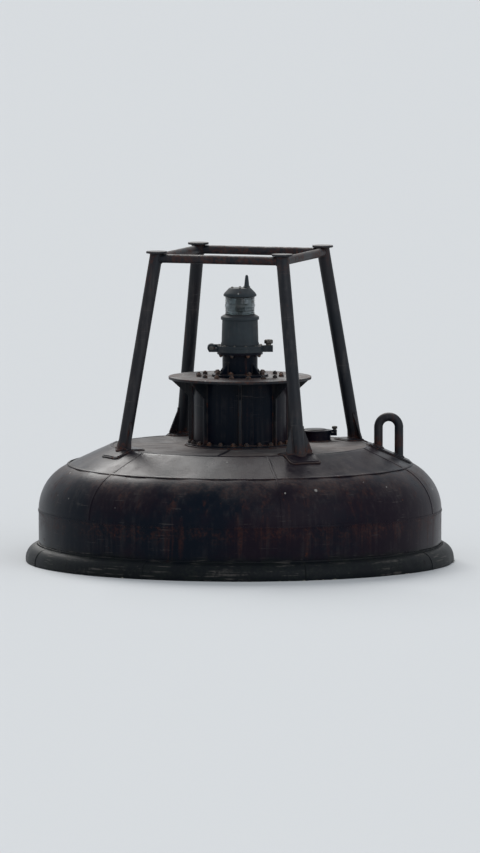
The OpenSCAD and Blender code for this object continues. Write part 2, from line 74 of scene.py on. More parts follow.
# Distance from the axis and turn of the copy of a fourfold node that stands where x and y are
# positive
def firstCopy(name):
    mesh = frame["nodes"][name].data
    co = np.empty(len(mesh.vertices) * 3)
    mesh.vertices.foreach_get("co", co)
    co = co.reshape(-1, 3)
    mine = co[(co[:, 0] > 0) & (co[:, 1] > 0)]
    x, y = ((mine.min(axis=0) + mine.max(axis=0)) / 2)[:2]
    return round(float(np.hypot(x, y)), 3), math.atan2(y, x)


floatShape = {
    "bendRadius": 0.300,      # bend between the side and the shoulder
    "deckEdge": 0.012,        # the deck plate lies this far inside the shoulder's edge
    "doublerWidth": 0.190,
    "doublerCorner": 0.024,
    "doublerLift": 0.012,
    "doublerSeam": 0.003,     # height of its weld's middle above the plating
    "eyePad": (0.250, 0.130),
}

hullR, drumR, drumBaseR, plateR = map(nodeRadius, ("hull_side", "battery_drum", "drum_base",
                                                   "service_plate"))
sideFoot, sideTop = footOf("hull_side"), topOf("hull_side")
drumFoot, drumTop = footOf("battery_drum"), topOf("battery_drum")
deckZ, plateTop, capFoot = topOf("deck_plate"), topOf("service_plate"), footOf("leg_caps")
lipR = nodeRadius("deck_plate")
deckR = lipR + floatShape["deckEdge"]
deckUnder = deckZ - floatShape["deckEdge"]
legFootR = firstCopy("foot_doublers")[0]
legTopR, legTurn = firstCopy("leg_caps")
legTurns = legTurn + np.arange(4) * quarterTurn
crossTurns = np.radians(45 + 90 * np.arange(4))
railLow, railHigh = footOf("rail_1"), topOf("rail_1")
railR, railZ = (railHigh - railLow) / 2, (railHigh + railLow) / 2
eyeLow, eyeHigh = nodeBox("lifting_eye")
eyeX = float(eyeLow[0] + eyeHigh[0]) / 2
eyeBarR = float(eyeHigh[1] - eyeLow[1]) / 2

# Slope of the shoulder: the line from the deck's edge that touches the bend's circle
bendR = floatShape["bendRadius"]
bendCentre = np.array([hullR - bendR, sideTop])
toBend = bendCentre - np.array([deckR, deckZ])
slope = -(math.atan2(toBend[1], toBend[0]) + math.asin(bendR / np.hypot(*toBend)))
bendStart = bendCentre + bendR * np.array([math.sin(slope), math.cos(slope)])
print("float: radius", hullR, "deck", round(deckR, 3), "slope", round(math.degrees(slope), 2))


# Height of the top plating at a distance r from the axis: deck, then cone, then the bend's circle
def platingHeight(r):
    cone = deckZ - (r - deckR) * math.tan(slope)
    bend = bendCentre[1] + np.sqrt(np.clip(bendR ** 2 - (r - bendCentre[0]) ** 2, 0, None))
    return np.where(r < deckR, deckZ, np.where(r < bendStart[0], cone, bend))


# Tilt of the plating from level at a distance r from the axis
def platingTilt(r):
    bend = np.arcsin(np.clip((r - bendCentre[0]) / bendR, -1, 1))
    return np.where(r < deckR, 0.0, np.where(r < bendStart[0], slope, bend))


# Points on the plating, raised square to it, and the plating's normals there
def onPlating(xy, lift=0.0):
    r = np.hypot(xy[:, 0], xy[:, 1])
    tilt = platingTilt(r)
    out = xy / r[:, None]
    normal = np.concatenate([out * np.sin(tilt)[:, None], np.cos(tilt)[:, None]], axis=1)
    return np.concatenate([xy, platingHeight(r)[:, None]], axis=1) + lift * normal, normal


# Surfaces: each is (verts, quads, tris), whole numpy arrays

# Points at radii, turns and heights: x = radius cos turn, y = radius sin turn
def aroundAxis(radius, turn, z):
    return np.stack([radius * np.cos(turn), radius * np.sin(turn), z + 0 * turn], axis=-1)


# Points at x, y and z, any of which may be one number
def pointsAt(x, y, z):
    return np.stack(np.broadcast_arrays(x, y, z), axis=-1).astype(float)


# Points drawn towards the Z axis: x and y times share
def narrowed(v, share):
    return v * np.stack([share, share, 1 + 0 * share], axis=-1)


def turned(points, angle):
    c, s = math.cos(angle), math.sin(angle)
    return points @ np.array([[c, s, 0], [-s, c, 0], [0, 0, 1]])


def unit(vectors):
    return vectors / np.linalg.norm(vectors, axis=-1, keepdims=True)


# Level directions away from the Z axis
def outwardOf(path):
    return unit(path * np.array([1, 1, 0]))


def evenTurns(count):
    return np.linspace(0, fullTurn, count, endpoint=False)


# Quads of a grid of rows by columns, wrapped round where it closes
def gridQuads(rows, cols, closeRows=False):
    r, c = np.meshgrid(np.arange(rows if closeRows else rows - 1), np.arange(cols), indexing="ij")
    r2, c2 = (r + 1) % rows, (c + 1) % cols
    quads = np.stack([r * cols + c, r * cols + c2, r2 * cols + c2, r2 * cols + c], axis=-1)
    return quads.reshape(-1, 4)


# Several surfaces as one, with each one's faces counted on from the last
def joined(surfaces):
    verts, quads, tris = zip(*surfaces)
    base = np.cumsum([0] + [len(v) for v in verts[:-1]])
    return (np.concatenate(verts), np.concatenate([q + b for q, b in zip(quads, base)]),
            np.concatenate([t + b for t, b in zip(tris, base)]))


noTris = np.empty((0, 3), int)


# Fan of triangles from a middle vertex to a ring that starts at first, facing along the ring's axis
def fan(middle, first, count, flip=False):
    c = np.arange(count)
    pair = (first + c, first + (c + 1) % count)
    return np.stack([np.full(count, middle), *(pair[::-1] if flip else pair)], axis=1)


# Profile of (radius, height) turned round Z. It runs counter-clockwise, so that faces point
# outwards; where it starts or ends on the axis it gets one pole, and a closed profile joins its
# last ring to its first.
def revolved(profile, segments, closed=False, nudge=None):
    profile = np.asarray(profile, float)
    poleStart = not closed and profile[0, 0] == 0
    poleEnd = not closed and profile[-1, 0] == 0
    rings = profile[(1 if poleStart else 0):(len(profile) - 1 if poleEnd else len(profile))]
    verts = aroundAxis(rings[:, :1], evenTurns(segments), rings[:, 1:])
    if nudge is not None:
        verts = nudge(verts)
    verts = verts.reshape(-1, 3)
    quads = gridQuads(len(rings), segments, closeRows=closed)
    tris = [noTris]
    if poleStart:
        tris.append(fan(len(verts), 0, segments, flip=True))
        verts = np.concatenate([verts, [[0, 0, profile[0, 1]]]])
    if poleEnd:
        tris.append(fan(len(verts), (len(rings) - 1) * segments, segments))
        verts = np.concatenate([verts, [[0, 0, profile[-1, 1]]]])
    return verts, quads, np.concatenate(tris)


# Tube along a path: each ring is the path's point plus high * cos b away from the surface and
# wide * sin b to the side, where the side is the tangent crossed with away. Open ends close in a fan.
def tubeAlong(path, away, high, wide, sides=8, closed=False):
    path = np.asarray(path, float)
    count = len(path)
    away = np.broadcast_to(np.asarray(away, float), path.shape)
    high, wide = (np.broadcast_to(np.asarray(size, float), (count,))[:, None, None]
                  for size in (high, wide))
    if closed:
        tangent = np.roll(path, -1, axis=0) - np.roll(path, 1, axis=0)
    else:
        tangent = np.gradient(path, axis=0)
    tangent = unit(tangent)
    side = unit(np.cross(tangent, away))
    up = np.cross(side, tangent)
    b = evenTurns(sides)[None, :, None]
    verts = path[:, None] + high * np.cos(b) * up[:, None] + wide * np.sin(b) * side[:, None]
    verts = verts.reshape(-1, 3)
    quads = gridQuads(count, sides, closeRows=closed)
    if closed:
        return verts, quads, noTris
    tris = [fan(len(verts), 0, sides, flip=True), fan(len(verts) + 1, (count - 1) * sides, sides)]
    return np.concatenate([verts, path[:1], path[-1:]]), quads, np.concatenate(tris)


# Copies of a surface's faces over vertices given as copies by points by 3
def copied(verts, quads, tris):
    shift = (np.arange(len(verts)) * verts.shape[1])[:, None, None]
    return verts.reshape(-1, 3), (quads + shift).reshape(-1, 4), (tris + shift).reshape(-1, 3)


# Copies of one surface at the points given, each turned about Z by its own angle in radians
def stamped(surface, points, turns):
    v, q, t = surface
    c, s, zero = np.cos(turns), np.sin(turns), 0 * turns
    turn = np.stack([c, -s, zero, s, c, zero, zero, zero, zero + 1], axis=1).reshape(-1, 3, 3)
    return copied(np.einsum("kij,nj->kni", turn, v) + points[:, None], q, t)


# Copies of one surface that stand on points along the normals given: its X and Y lie square to them
def planted(surface, points, normals, sizes=1.0, turns=0.0):
    v, q, t = surface
    sizes, turns = (np.broadcast_to(value, len(points)) for value in (sizes, turns))
    normals = unit(normals)
    first = unit(np.cross(normals, np.array([0.31, 0.27, 0.91])))     # any direction off the normals
    second = np.cross(normals, first)
    along = np.cos(turns)[:, None] * first + np.sin(turns)[:, None] * second
    axes = np.stack([along, np.cross(normals, along), normals], axis=2) * sizes[:, None, None]
    return copied(np.einsum("kij,nj->kni", axes, v) + points[:, None], q, t)


# Turned over: half a turn about X, so faces still point outwards
def upsideDown(surface):
    v, q, t = surface
    return v * np.array([1, -1, -1]), q, t


# Smooth random field: a sum of plane waves of about the given length, mostly between -1 and 1
def waviness(points, length, seed, count=24):
    rng = np.random.default_rng(seed)
    k = rng.normal(size=(count, 3))
    k *= (fullTurn / length * rng.uniform(0.6, 1.5, count) / np.linalg.norm(k, axis=1))[:, None]
    phase = rng.uniform(0, fullTurn, count)
    return np.cos(points @ k.T + phase).sum(axis=-1) / math.sqrt(count)


# Path taken again with even steps of about the length given
def resampled(path, step, closed=False):
    path = np.asarray(path, float)
    if closed:
        path = np.concatenate([path, path[:1]])
    s = np.concatenate([[0], np.cumsum(np.linalg.norm(np.diff(path[:, :3], axis=0), axis=1))])
    count = max(3, int(round(s[-1] / step)))
    at = np.linspace(0, s[-1], count + 1)[: count if closed else count + 1]
    return np.stack([np.interp(at, s, path[:, k]) for k in range(path.shape[1])], axis=1)


# Even points round a circle about Z, about a step apart
def circlePath(radius, z, step):
    return aroundAxis(radius, evenTurns(int(fullTurn * radius / step)), z)


# Outline of a rectangle with round corners about a middle, its width along X
def roundRect(width, height, corner, middle, step):
    a = np.radians(np.linspace(0, 90, 7))
    points = []
    for quarter, (sx, sy) in enumerate([(1, 1), (-1, 1), (-1, -1), (1, -1)]):
        centre = np.array([sx * (width / 2 - corner), sy * (height / 2 - corner)])
        b = a + quarter * quarterTurn
        points.append(centre + corner * np.stack([np.cos(b), np.sin(b)], axis=1))
    return resampled(np.concatenate(points), step, closed=True) + np.asarray(middle)


# New piece from a surface, with smooth shading broken at edges sharper than sharpDeg
def makePiece(name, surface, finish, body="buoy", sharpDeg=60, stands=()):
    verts, quads, tris = surface
    mesh = bpy.data.meshes.new(name)
    loops = np.concatenate([quads.ravel(), tris.ravel()]).astype(np.int32)
    sizes = np.concatenate([np.full(len(quads), 4), np.full(len(tris), 3)])
    mesh.vertices.add(len(verts))
    mesh.vertices.foreach_set("co", verts.astype(np.float32).ravel())
    mesh.loops.add(len(loops))
    mesh.loops.foreach_set("vertex_index", loops)
    mesh.polygons.add(len(sizes))
    mesh.polygons.foreach_set("loop_start", (np.cumsum(sizes) - sizes).astype(np.int32))
    mesh.polygons.foreach_set("use_smooth", np.ones(len(sizes), bool))
    mesh.update(calc_edges=True)
    mesh.set_sharp_from_angle(angle=math.radians(sharpDeg))
    placePiece(name, mesh, materials[finish], body, stands)


def placePiece(name, mesh, material, body, stands=()):
    mesh.materials.append(material)
    piece = bpy.data.objects.new(name, mesh)
    bpy.context.scene.collection.objects.link(piece)
    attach(piece, body)
    if stands:
        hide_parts(*stands)
    return piece


# Materials

# Colour written as it shows on screen, 0 to 255, as linear light
def shade(r, g, b):
    c = np.array([r, g, b]) / 255
    c = np.where(c <= 0.04045, c / 12.92, ((c + 0.055) / 1.055) ** 2.4)
    return (*c.tolist(), 1.0)


def putInto(tree, value, socket):
    if isinstance(value, bpy.types.NodeSocket):
        tree.links.new(value, socket)
    else:
        socket.default_value = value


def addNode(tree, kind, inputs=None, **settings):
    node = tree.nodes.new("ShaderNode" + kind)
    for key, value in settings.items():
        setattr(node, key, value)
    for key, value in (inputs or {}).items():
        putInto(tree, value, node.inputs[key])
    return node


def noiseOf(tree, at, scale, detail=3.0, rough=0.55, warp=0.0):
    return addNode(tree, "TexNoise", {"Vector": at, "Scale": scale, "Detail": detail,
                                      "Roughness": rough, "Distortion": warp}).outputs["Fac"]


def stretched(tree, at, scale):
    return addNode(tree, "Mapping", {"Vector": at, "Scale": scale}).outputs["Vector"]


def mathOf(tree, operation, a, b=0.0):
    return addNode(tree, "Math", {0: a, 1: b}, operation=operation).outputs[0]


# One operation carried through any number of values, from the first to the last
def chained(operation, tree, *values):
    out = values[0]
    for value in values[1:]:
        out = mathOf(tree, operation, out, value)
    return out


product, total, strongest = (partial(chained, kind) for kind in ("MULTIPLY", "ADD", "MAXIMUM"))


# 0 below low, 1 above high and smooth between; with low above high it falls
def stepOf(tree, value, low, high):
    if low > high:
        return mathOf(tree, "SUBTRACT", 1.0, stepOf(tree, value, high, low))
    return addNode(tree, "MapRange", {"Value": value, "From Min": low, "From Max": high},
                   interpolation_type="SMOOTHSTEP").outputs["Result"]


def mixOf(tree, factor, a, b):
    mix = addNode(tree, "Mix", data_type="RGBA")
    for key, value in (("Factor", factor), ("A", a), ("B", b)):
        putInto(tree, value, next(s for s in mix.inputs if s.name == key and s.enabled))
    return next(s for s in mix.outputs if s.enabled)


def startMaterial(name, metallic=0.0, specular=0.5):
    material = bpy.data.materials.new(name)
    material.use_nodes = True
    tree = material.node_tree
    shader = tree.nodes["Principled BSDF"]
    shader.inputs["Metallic"].default_value = metallic
    shader.inputs["Specular IOR Level"].default_value = specular
    return material, tree, shader, addNode(tree, "TexCoord").outputs


def axesOf(tree, vector):
    return addNode(tree, "SeparateXYZ", {0: vector}).outputs


def finishMaterial(tree, shader, colour, rough, height, depth, strength=0.7):
    tree.links.new(colour, shader.inputs["Base Color"])
    tree.links.new(rough, shader.inputs["Roughness"])
    bump = addNode(tree, "Bump", {"Height": height, "Strength": strength, "Distance": depth})
    tree.links.new(bump.outputs["Normal"], shader.inputs["Normal"])


tones = {
    "slate": shade(8, 16, 27),        # old black paint, towards blue
    "maroon": shade(23, 16, 26),      # the same, where it has gone towards red
    "black": shade(8, 15, 24),
    "blackWarm": shade(20, 20, 26),
    "rust": shade(76, 42, 32),
    "rustDark": shade(40, 26, 26),
    "dust": shade(96, 91, 89),        # dried salt and dirt
    "salt": shade(112, 108, 106),     # what a dried puddle leaves
    "lime": shade(172, 171, 167),     # bird lime
    "wet": shade(6, 11, 16),
    "slime": shade(25, 31, 28),
    "growth": shade(70, 71, 52),
    "deck": shade(58, 56, 58),
    "deckWarm": shade(66, 55, 52),
    "lantern": shade(22, 31, 38),
    "lanternPale": shade(35, 45, 51),
}

# For each paint: its two tones, how much rust runs and how much it chips, the dust on what faces
# up, the bird lime there, the roughness, the heights of seams that bleed rust downwards, the
# heights of feet where rust creeps upwards with the radius it keeps within, the grain, the gloss,
# the scuffs, the marks of dried puddles, the crust of rust at seams and feet, and the salt wash
anyRadius = 9.0
paintDepth = 0.0010               # metres
plainPaint = dict(seams=(), feet=(), grain=0.6, specular=0.26, marks=0.0, crust=0.85, washed=0.22)
paints = {
    "hull": dict(plainPaint, tones=("slate", "maroon"), runs=0.26, chips=0.28, dust=0.24, lime=0.55,
                 rough=0.21, seams=(sideTop, float(bendStart[1])), grain=0.5, specular=0.06,
                 scuffs=0.5, crust=0.4, washed=0.12),
    "deck": dict(plainPaint, tones=("deck", "deckWarm"), runs=0.30, chips=0.55, dust=0.42, lime=0.80,
                 rough=0.60, grain=1.6, specular=0.30, scuffs=0.3, marks=0.6, crust=0.8),
    "frame": dict(plainPaint, tones=("black", "blackWarm"), runs=0.50, chips=0.45, dust=0.28,
                  lime=0.85, rough=0.40, seams=(capFoot,), scuffs=0.4, marks=0.35,
                  feet=((deckZ, anyRadius), (drumFoot, drumBaseR), (plateTop, plateR))),
    "strake": dict(plainPaint, tones=("black", "blackWarm"), runs=0.40, chips=0.40, dust=0.10,
                   lime=0.40, rough=0.44, specular=0.10, scuffs=0.3, crust=0.6, washed=0.12),
    "weld": dict(plainPaint, tones=("blackWarm", "rustDark"), runs=0.0, chips=0.95, dust=0.10,
                 lime=0.0, rough=0.50, feet=((deckZ, anyRadius), (plateTop, plateR)), grain=0.8,
                 scuffs=0.0),
    "lantern": dict(plainPaint, tones=("lantern", "lanternPale"), runs=0.10, chips=0.25, dust=0.30,
                    lime=0.80, rough=0.46, grain=1.0, specular=0.30, scuffs=0.2),
}


# Noise fields that the paints share: scale, detail, roughness and, for the last, warp
paintFields = {
    "broad": (1.3, 6, 0.66), "patches": (6.5, 8, 0.70), "fine": (60, 5, 0.65), "grain": (240, 2),
    "pools": (2.6, 6, 0.56), "chipField": (17, 9, 0.68, 0.2),
}
# Fields drawn out into streaks: scale on X, Y and Z, detail, roughness
paintStreaks = {
    "falls": ((13, 13, 0.9), 6, 0.62), "thin": ((42, 42, 1.6), 4, 0.6), "rubbed": ((5, 5, 110), 3, 0.5),
}
# Splashes of bird lime, large and small: scale of the cells, size in a cell, share of the cells
limeSplashes = ((4.2, 0.085, 0.34), (15.0, 0.10, 0.20))
# Lengths in metres over which rust runs down from a seam, creeps up from a foot and fades past
# the foot's radius
rustReach = {"seam": (0.26, 0.02), "foot": (0.11, 0.012), "radius": (0.03, 0.02)}
# Heights in metres between which the wet band, its rubbed streaks and the growth fade in
waterline = {"wet": (0.120, 0.060), "rubbed": (-0.10, -0.05), "growth": (-0.03, -0.14)}


# Round splashes with ragged edges in some of the cells of a cell pattern
def splashes(tree, at, ragged, scale, size, share):
    cells = addNode(tree, "TexVoronoi", {"Vector": at, "Scale": scale}).outputs
    edge = total(tree, cells["Distance"], product(tree, ragged, size * 2.4))
    chosen = stepOf(tree, axesOf(tree, cells["Color"])[0], 1 - share, 1.02 - share)
    return product(tree, stepOf(tree, edge, size * 2.05, size * 1.85), chosen)


# Weathered paint, from the bottom layer up: two tones in broad clouds, salt wash, freckles and
# scuffs, runs of rust that fall from the seams and creep up at the feet, chips with a rusty rim,
# dust, stains left by puddles and bird lime on what faces up, and the wet slimy band at the
# waterline with rubbed streaks and growth below it
def weatheredPaint(name, look):
    material, tree, shader, coords = startMaterial(name, specular=look["specular"])
    step, times, plus, most, noise = (partial(f, tree) for f in
                                      (stepOf, product, total, strongest, noiseOf))
    at = coords["Object"]
    x, y, z = axesOf(tree, at)[:3]
    up = axesOf(tree, coords["Normal"])[2]
    level = step(up, 0.35, 0.97)
    broad, patches, fine, grain, pools, chipField = (noise(at, *field) for field in paintFields.values())
    falls, thin, rubbed = (noise(stretched(tree, at, scales), 1.0, *rest)
                           for scales, *rest in paintStreaks.values())
    rustTone = mixOf(tree, step(fine, 0.35, 0.65), tones["rustDark"], tones["rust"])
    colour = mixOf(tree, step(broad, 0.42, 0.58), *(tones[tone] for tone in look["tones"]))

    def coat(tone, *masks):
        nonlocal colour
        colour = mixOf(tree, times(*masks), colour, tone)

    coat(tones["dust"], step(thin, 0.40, 0.72), step(patches, 0.40, 0.62), look["washed"])
    coat(tones["rustDark"], step(fine, 0.58, 0.66), step(patches, 0.36, 0.56), look["chips"])
    coat(tones["dust"], step(rubbed, 0.62, 0.68), step(patches, 0.50, 0.60), look["scuffs"], 0.5)

    gather = 0.0
    for seam in look["seams"]:
        below = mathOf(tree, "SUBTRACT", seam, z)
        gather = most(times(step(below, -0.012, 0.004), step(below, *rustReach["seam"])), gather)
    reach = mathOf(tree, "SQRT", plus(times(x, x), times(y, y)))
    for foot, limit in look["feet"]:
        above = mathOf(tree, "SUBTRACT", z, foot)
        creep = times(step(above, -0.02, 0.0), step(above, *rustReach["foot"]),
                      step(reach, *(limit + past for past in rustReach["radius"])))
        gather = most(times(creep, 1.25), gather)
    runs = times(step(plus(falls, times(gather, 0.11)), 0.58, 0.70), step(thin, 0.42, 0.58))
    crust = times(step(gather, 0.6, 1.2), step(patches, 0.44, 0.56), step(fine, 0.38, 0.60))
    runs = most(times(runs, look["runs"] * 1.4), times(crust, look["crust"]))
    coat(rustTone, runs)

    threshold = 0.72 - 0.14 * look["chips"]
    chips = step(chipField, threshold, threshold + 0.012)
    coat(tones["rustDark"], step(chipField, threshold - 0.035, threshold), 0.55)
    coat(rustTone, chips)

    dusty = times(level, step(patches, 0.34, 0.66), look["dust"])
    coat(tones["dust"], dusty)
    coat(tones["salt"], level, step(pools, 0.50, 0.515), step(pools, 0.60, 0.51),
         step(patches, 0.34, 0.60), look["marks"])
    large, small = limeSplashes
    drops = most(splashes(tree, at, patches, *large), splashes(tree, at, fine, *small))
    limed = times(step(up, 0.15, 0.6), drops, look["lime"])
    coat(tones["lime"], limed)

    wet = step(plus(z, times(patches, -0.06)), *waterline["wet"])
    coat(tones["wet"], wet, 0.85)
    coat(tones["slime"], wet, step(plus(fine, patches), 0.90, 1.10), 0.45)
    coat(tones["dust"], wet, step(z, *waterline["rubbed"]), step(rubbed, 0.56, 0.64),
         step(patches, 0.44, 0.58), 0.42)
    coat(tones["growth"], step(z, *waterline["growth"]), step(patches, 0.36, 0.60),
         step(broad, 0.30, 0.58), step(fine, 0.26, 0.60))

    matt = most(runs, chips, dusty, limed)
    rough = plus(times(matt, 0.35), look["rough"], times(patches, 0.20))
    rough = mathOf(tree, "SUBTRACT", rough, times(wet, 0.06))
    height = plus(times(grain, 0.25 * look["grain"]), times(chips, -0.3),
                  times(fine, 0.5 * look["grain"]), times(most(limed, runs), 0.5))
    finishMaterial(tree, shader, colour, rough, height, paintDepth)
    return material


metals = {
    # pale tone, dark tone, metallic, roughness, scale of the clouds, depth of the pits in metres
    "fittingMetal": ((84, 82, 78), (48, 43, 40), 0.6, 0.48, 30, 0.0003),
    "ballastIron": ((78, 50, 36), (42, 31, 27), 0.1, 0.74, 14, 0.004),
    "zincAnode": ((142, 144, 146), (100, 104, 104), 0.2, 0.66, 40, 0.005),
    "lampMetal": ((196, 196, 190), (150, 150, 150), 0.5, 0.3, 60, 0.0001),
    "rubber": ((24, 25, 27), (44, 44, 44), 0.0, 0.7, 80, 0.0002),
    "shell": ((150, 146, 134), (92, 92, 80), 0.0, 0.8, 60, 0.0010),
    "weedSkin": ((52, 62, 32), (76, 66, 38), 0.0, 0.45, 40, 0.0004),
    "boltSteel": ((46, 44, 46), (92, 60, 42), 0.3, 0.5, 36, 0.0004),
}


# Bare or rusty metal, and other plain skins: two tones in clouds, pits and a fine grain
def bareMetal(name, first, second, metallic, rough, scale, depth):
    material, tree, shader, coords = startMaterial(name, metallic=metallic)
    at = coords["Object"]
    clouds = noiseOf(tree, at, scale, 6, 0.62, 0.3)
    pits = noiseOf(tree, at, scale * 6, 4, 0.6)
    colour = mixOf(tree, stepOf(tree, clouds, 0.40, 0.66), shade(*first), shade(*second))
    roughness = total(tree, product(tree, clouds, 0.3), rough - 0.1)
    height = total(tree, product(tree, pits, 0.5), clouds)
    finishMaterial(tree, shader, colour, roughness, height, depth)
    return material


lensLook = {"clear": shade(150, 160, 164), "hazed": shade(104, 110, 110), "haze": 0.30,
            "through": 0.94, "ior": 1.49, "depth": 0.0002}


def lensMaterial():
    material, tree, shader, coords = startMaterial("lensGlass")
    haze = noiseOf(tree, coords["Object"], 30, 5, 0.6)
    shader.inputs["Transmission Weight"].default_value = lensLook["through"]
    shader.inputs["IOR"].default_value = lensLook["ior"]
    colour = mixOf(tree, stepOf(tree, haze, 0.4, 0.8), lensLook["clear"], lensLook["hazed"])
    rough = total(tree, product(tree, haze, lensLook["haze"]), 0.02)
    finishMaterial(tree, shader, colour, rough, haze, lensLook["depth"])
    return material


materials = {name: weatheredPaint(name + "Paint", look) for name, look in paints.items()}
materials |= {name: bareMetal(name, *look) for name, look in metals.items()}
materials["lens"] = lensMaterial()

# Material of each of the record's slots, and the record's slot of each node
slotMaterials = {
    "hull_paint": "hull", "deck_paint": "deck", "frame_paint": "frame", "lantern_paint": "lantern",
    "fitting_metal": "fittingMetal", "ballast_iron": "ballastIron", "zinc": "zincAnode",
    "lamp_metal": "lampMetal", "lens_glass": "lens",
}
slotOf = {part["node"]: part["material_slot"] for part in frame["record"]["subparts"]}
for node, slot in slotOf.items():
    for place in frame["nodes"][node].material_slots:
        place.material = materials[slotMaterials[slot]]
print("materials:", len(materials))


# Plating: the float's skins, dished in between the frames and dented by boats

plating = {
    "segments": 540, "deckSegments": 360, "bottomSegments": 300,
    "sideRows": 48, "bendRows": 26, "coneRows": 20, "deckRows": 60,
    "deckMiddle": 0.02,       # radius of the deck's last ring, about its pole
    "frames": 24,             # frames and brackets behind the skin, evenly round the float
    "dish": 0.0026,           # depth of the hollow between two frames
    "ripple": 0.0012,
    "rippleLength": 0.42,
    "dents": 11,
    "dentDepth": (0.003, 0.010),
    "dentReach": (0.05, 0.15),
    "dentHeights": (0.14, 0.50),
    "padReach": 0.15,         # the skin is stiff this near to a welded pad, and a little beyond
    "padFade": 0.12,
    "seed": 23,
}

dentRng = np.random.default_rng(plating["seed"])
dentTurns = dentRng.uniform(0, fullTurn, plating["dents"])
dentHeights = dentRng.uniform(*plating["dentHeights"], plating["dents"])
dentDepths = dentRng.uniform(*plating["dentDepth"], plating["dents"])
dentReaches = dentRng.uniform(*plating["dentReach"], plating["dents"])
dentRadius = np.where(dentHeights < sideTop, hullR, bendCentre[0] + np.sqrt(
    np.clip(bendR ** 2 - (dentHeights - sideTop) ** 2, 0, None)))
dentPlaces = aroundAxis(dentRadius, dentTurns, dentHeights)
valveMiddle = sum(nodeBox("valve_plug")) / 2
padPlaces = [*aroundAxis(legFootR, legTurns, 0)[:, :2], (eyeX, 0.0), valveMiddle[:2]]


# 0 on the welded pads and 1 well away from all of them
def offPads(points):
    clear = np.ones(points.shape[:-1])
    for px, py in padPlaces:
        away = np.hypot(points[..., 0] - px, points[..., 1] - py)
        t = np.clip((away - plating["padReach"]) / plating["padFade"], 0, 1)
        clear *= t * t * (3 - 2 * t)
    return clear


# Depth of the dents: a sum of bells, each depth * exp(-(distance / reach) squared)
def dentDepth(points):
    depth = np.zeros(points.shape[:-1])
    for place, deep, reach in zip(dentPlaces, dentDepths, dentReaches):
        depth += deep * np.exp(-((points - place) ** 2).sum(axis=-1) / reach ** 2)
    return depth * offPads(points)


# Depth of the hollows between frames: sin squared round the float, times the window given, with a
# slow ripple added
def hollowDepth(points, window):
    turn = np.arctan2(points[..., 1], points[..., 0])
    hollow = plating["dish"] * np.sin(plating["frames"] / 2 * turn) ** 2
    ripple = plating["ripple"] * (1 + waviness(points, plating["rippleLength"], plating["seed"]))
    return (hollow + ripple) * window * offPads(points)


# 0 at both ends and 1 in the middle: sin squared over half a turn
def sineWindow(count):
    return np.sin(np.linspace(0, math.pi, count)) ** 2


# Side: an upright line turned round Z, drawn in by its hollows and dents
def makeSide():
    z = np.linspace(sideFoot, sideTop, plating["sideRows"])
    profile = [(0, sideFoot), *zip(hullR + 0 * z, z), (0, sideTop)]
    window = sineWindow(len(z))[:, None]
    return revolved(profile, plating["segments"],
                    nudge=lambda v: narrowed(v, 1 - (hollowDepth(v, window) + dentDepth(v)) / hullR))


# Points of the meridian of the bend and the cone, from the side up to the deck's edge
def shoulderMeridian():
    a = np.linspace(0, quarterTurn - slope, plating["bendRows"])
    arc = bendCentre + bendR * np.stack([np.cos(a), np.sin(a)], axis=1)
    t = np.linspace(0, 1, plating["coneRows"])[1:, None]
    return np.concatenate([arc, bendStart + t * (np.array([deckR, deckZ]) - bendStart)])


# Shoulder: the bend and the cone turned round Z, pressed in square to the skin
def makeShoulder():
    skin = shoulderMeridian()
    profile = [(0, sideTop), *skin, (lipR, deckZ), (lipR, deckUnder), (0, deckUnder)]
    window, tilt, onSkin = (np.concatenate([part, [0, 0]])[:, None] for part in
                            (sineWindow(len(skin)), platingTilt(skin[:, 0]), np.ones(len(skin))))

    def press(v):
        inward = hollowDepth(v, window) + dentDepth(v) * onSkin
        share = 1 - inward * np.sin(tilt) / np.hypot(v[..., 0], v[..., 1])
        return narrowed(v, share) - (inward * np.cos(tilt))[..., None] * upward
    return revolved(profile, plating["segments"], nudge=press)


# Deck: level rings from the edge in to the middle, pressed down between drum and edge
def makeDeck():
    r = np.linspace(lipR, plating["deckMiddle"], plating["deckRows"])
    profile = [(0, deckUnder), (lipR, deckUnder), *zip(r, deckZ + 0 * r), (0, deckZ)]
    between = np.clip((r - drumBaseR) / (lipR - drumBaseR), 0, 1)
    window = np.concatenate([[0], np.sin(math.pi * between) ** 2])[:, None]
    return revolved(profile, plating["deckSegments"],
                    nudge=lambda v: v - hollowDepth(v, window)[..., None] * upward)


bottomShape = {"bilgeRadius": 0.180, "slope": math.radians(10), "seat": 0.020, "tailRadius": 0.300,
               "bilgeRows": 22, "coneRows": 24}
bottomLow = footOf("hull_bottom")
tailR = bottomShape["tailRadius"]


# Bottom: a shallow cone and the bilge's arc turned round Z, pressed up by its hollows
def makeBottom():
    bilge = bottomShape["bilgeRadius"]
    a = np.linspace(bottomShape["slope"] - quarterTurn, 0, bottomShape["bilgeRows"])
    arc = np.array([hullR - bilge, sideFoot]) + bilge * np.stack([np.cos(a), np.sin(a)], axis=1)
    t = np.linspace(0, 1, bottomShape["coneRows"])[:-1, None]
    tailEdge = np.array([tailR, bottomLow])
    skin = np.concatenate([tailEdge + t * (arc[0] - tailEdge), arc])
    seatZ = bottomLow + bottomShape["seat"]
    profile = [(0, seatZ), (tailR, seatZ), *skin, (0, sideFoot)]
    window = np.concatenate([[0], sineWindow(len(skin))])[:, None]
    return revolved(profile, plating["bottomSegments"],
                    nudge=lambda v: v + hollowDepth(v, window)[..., None] * upward)


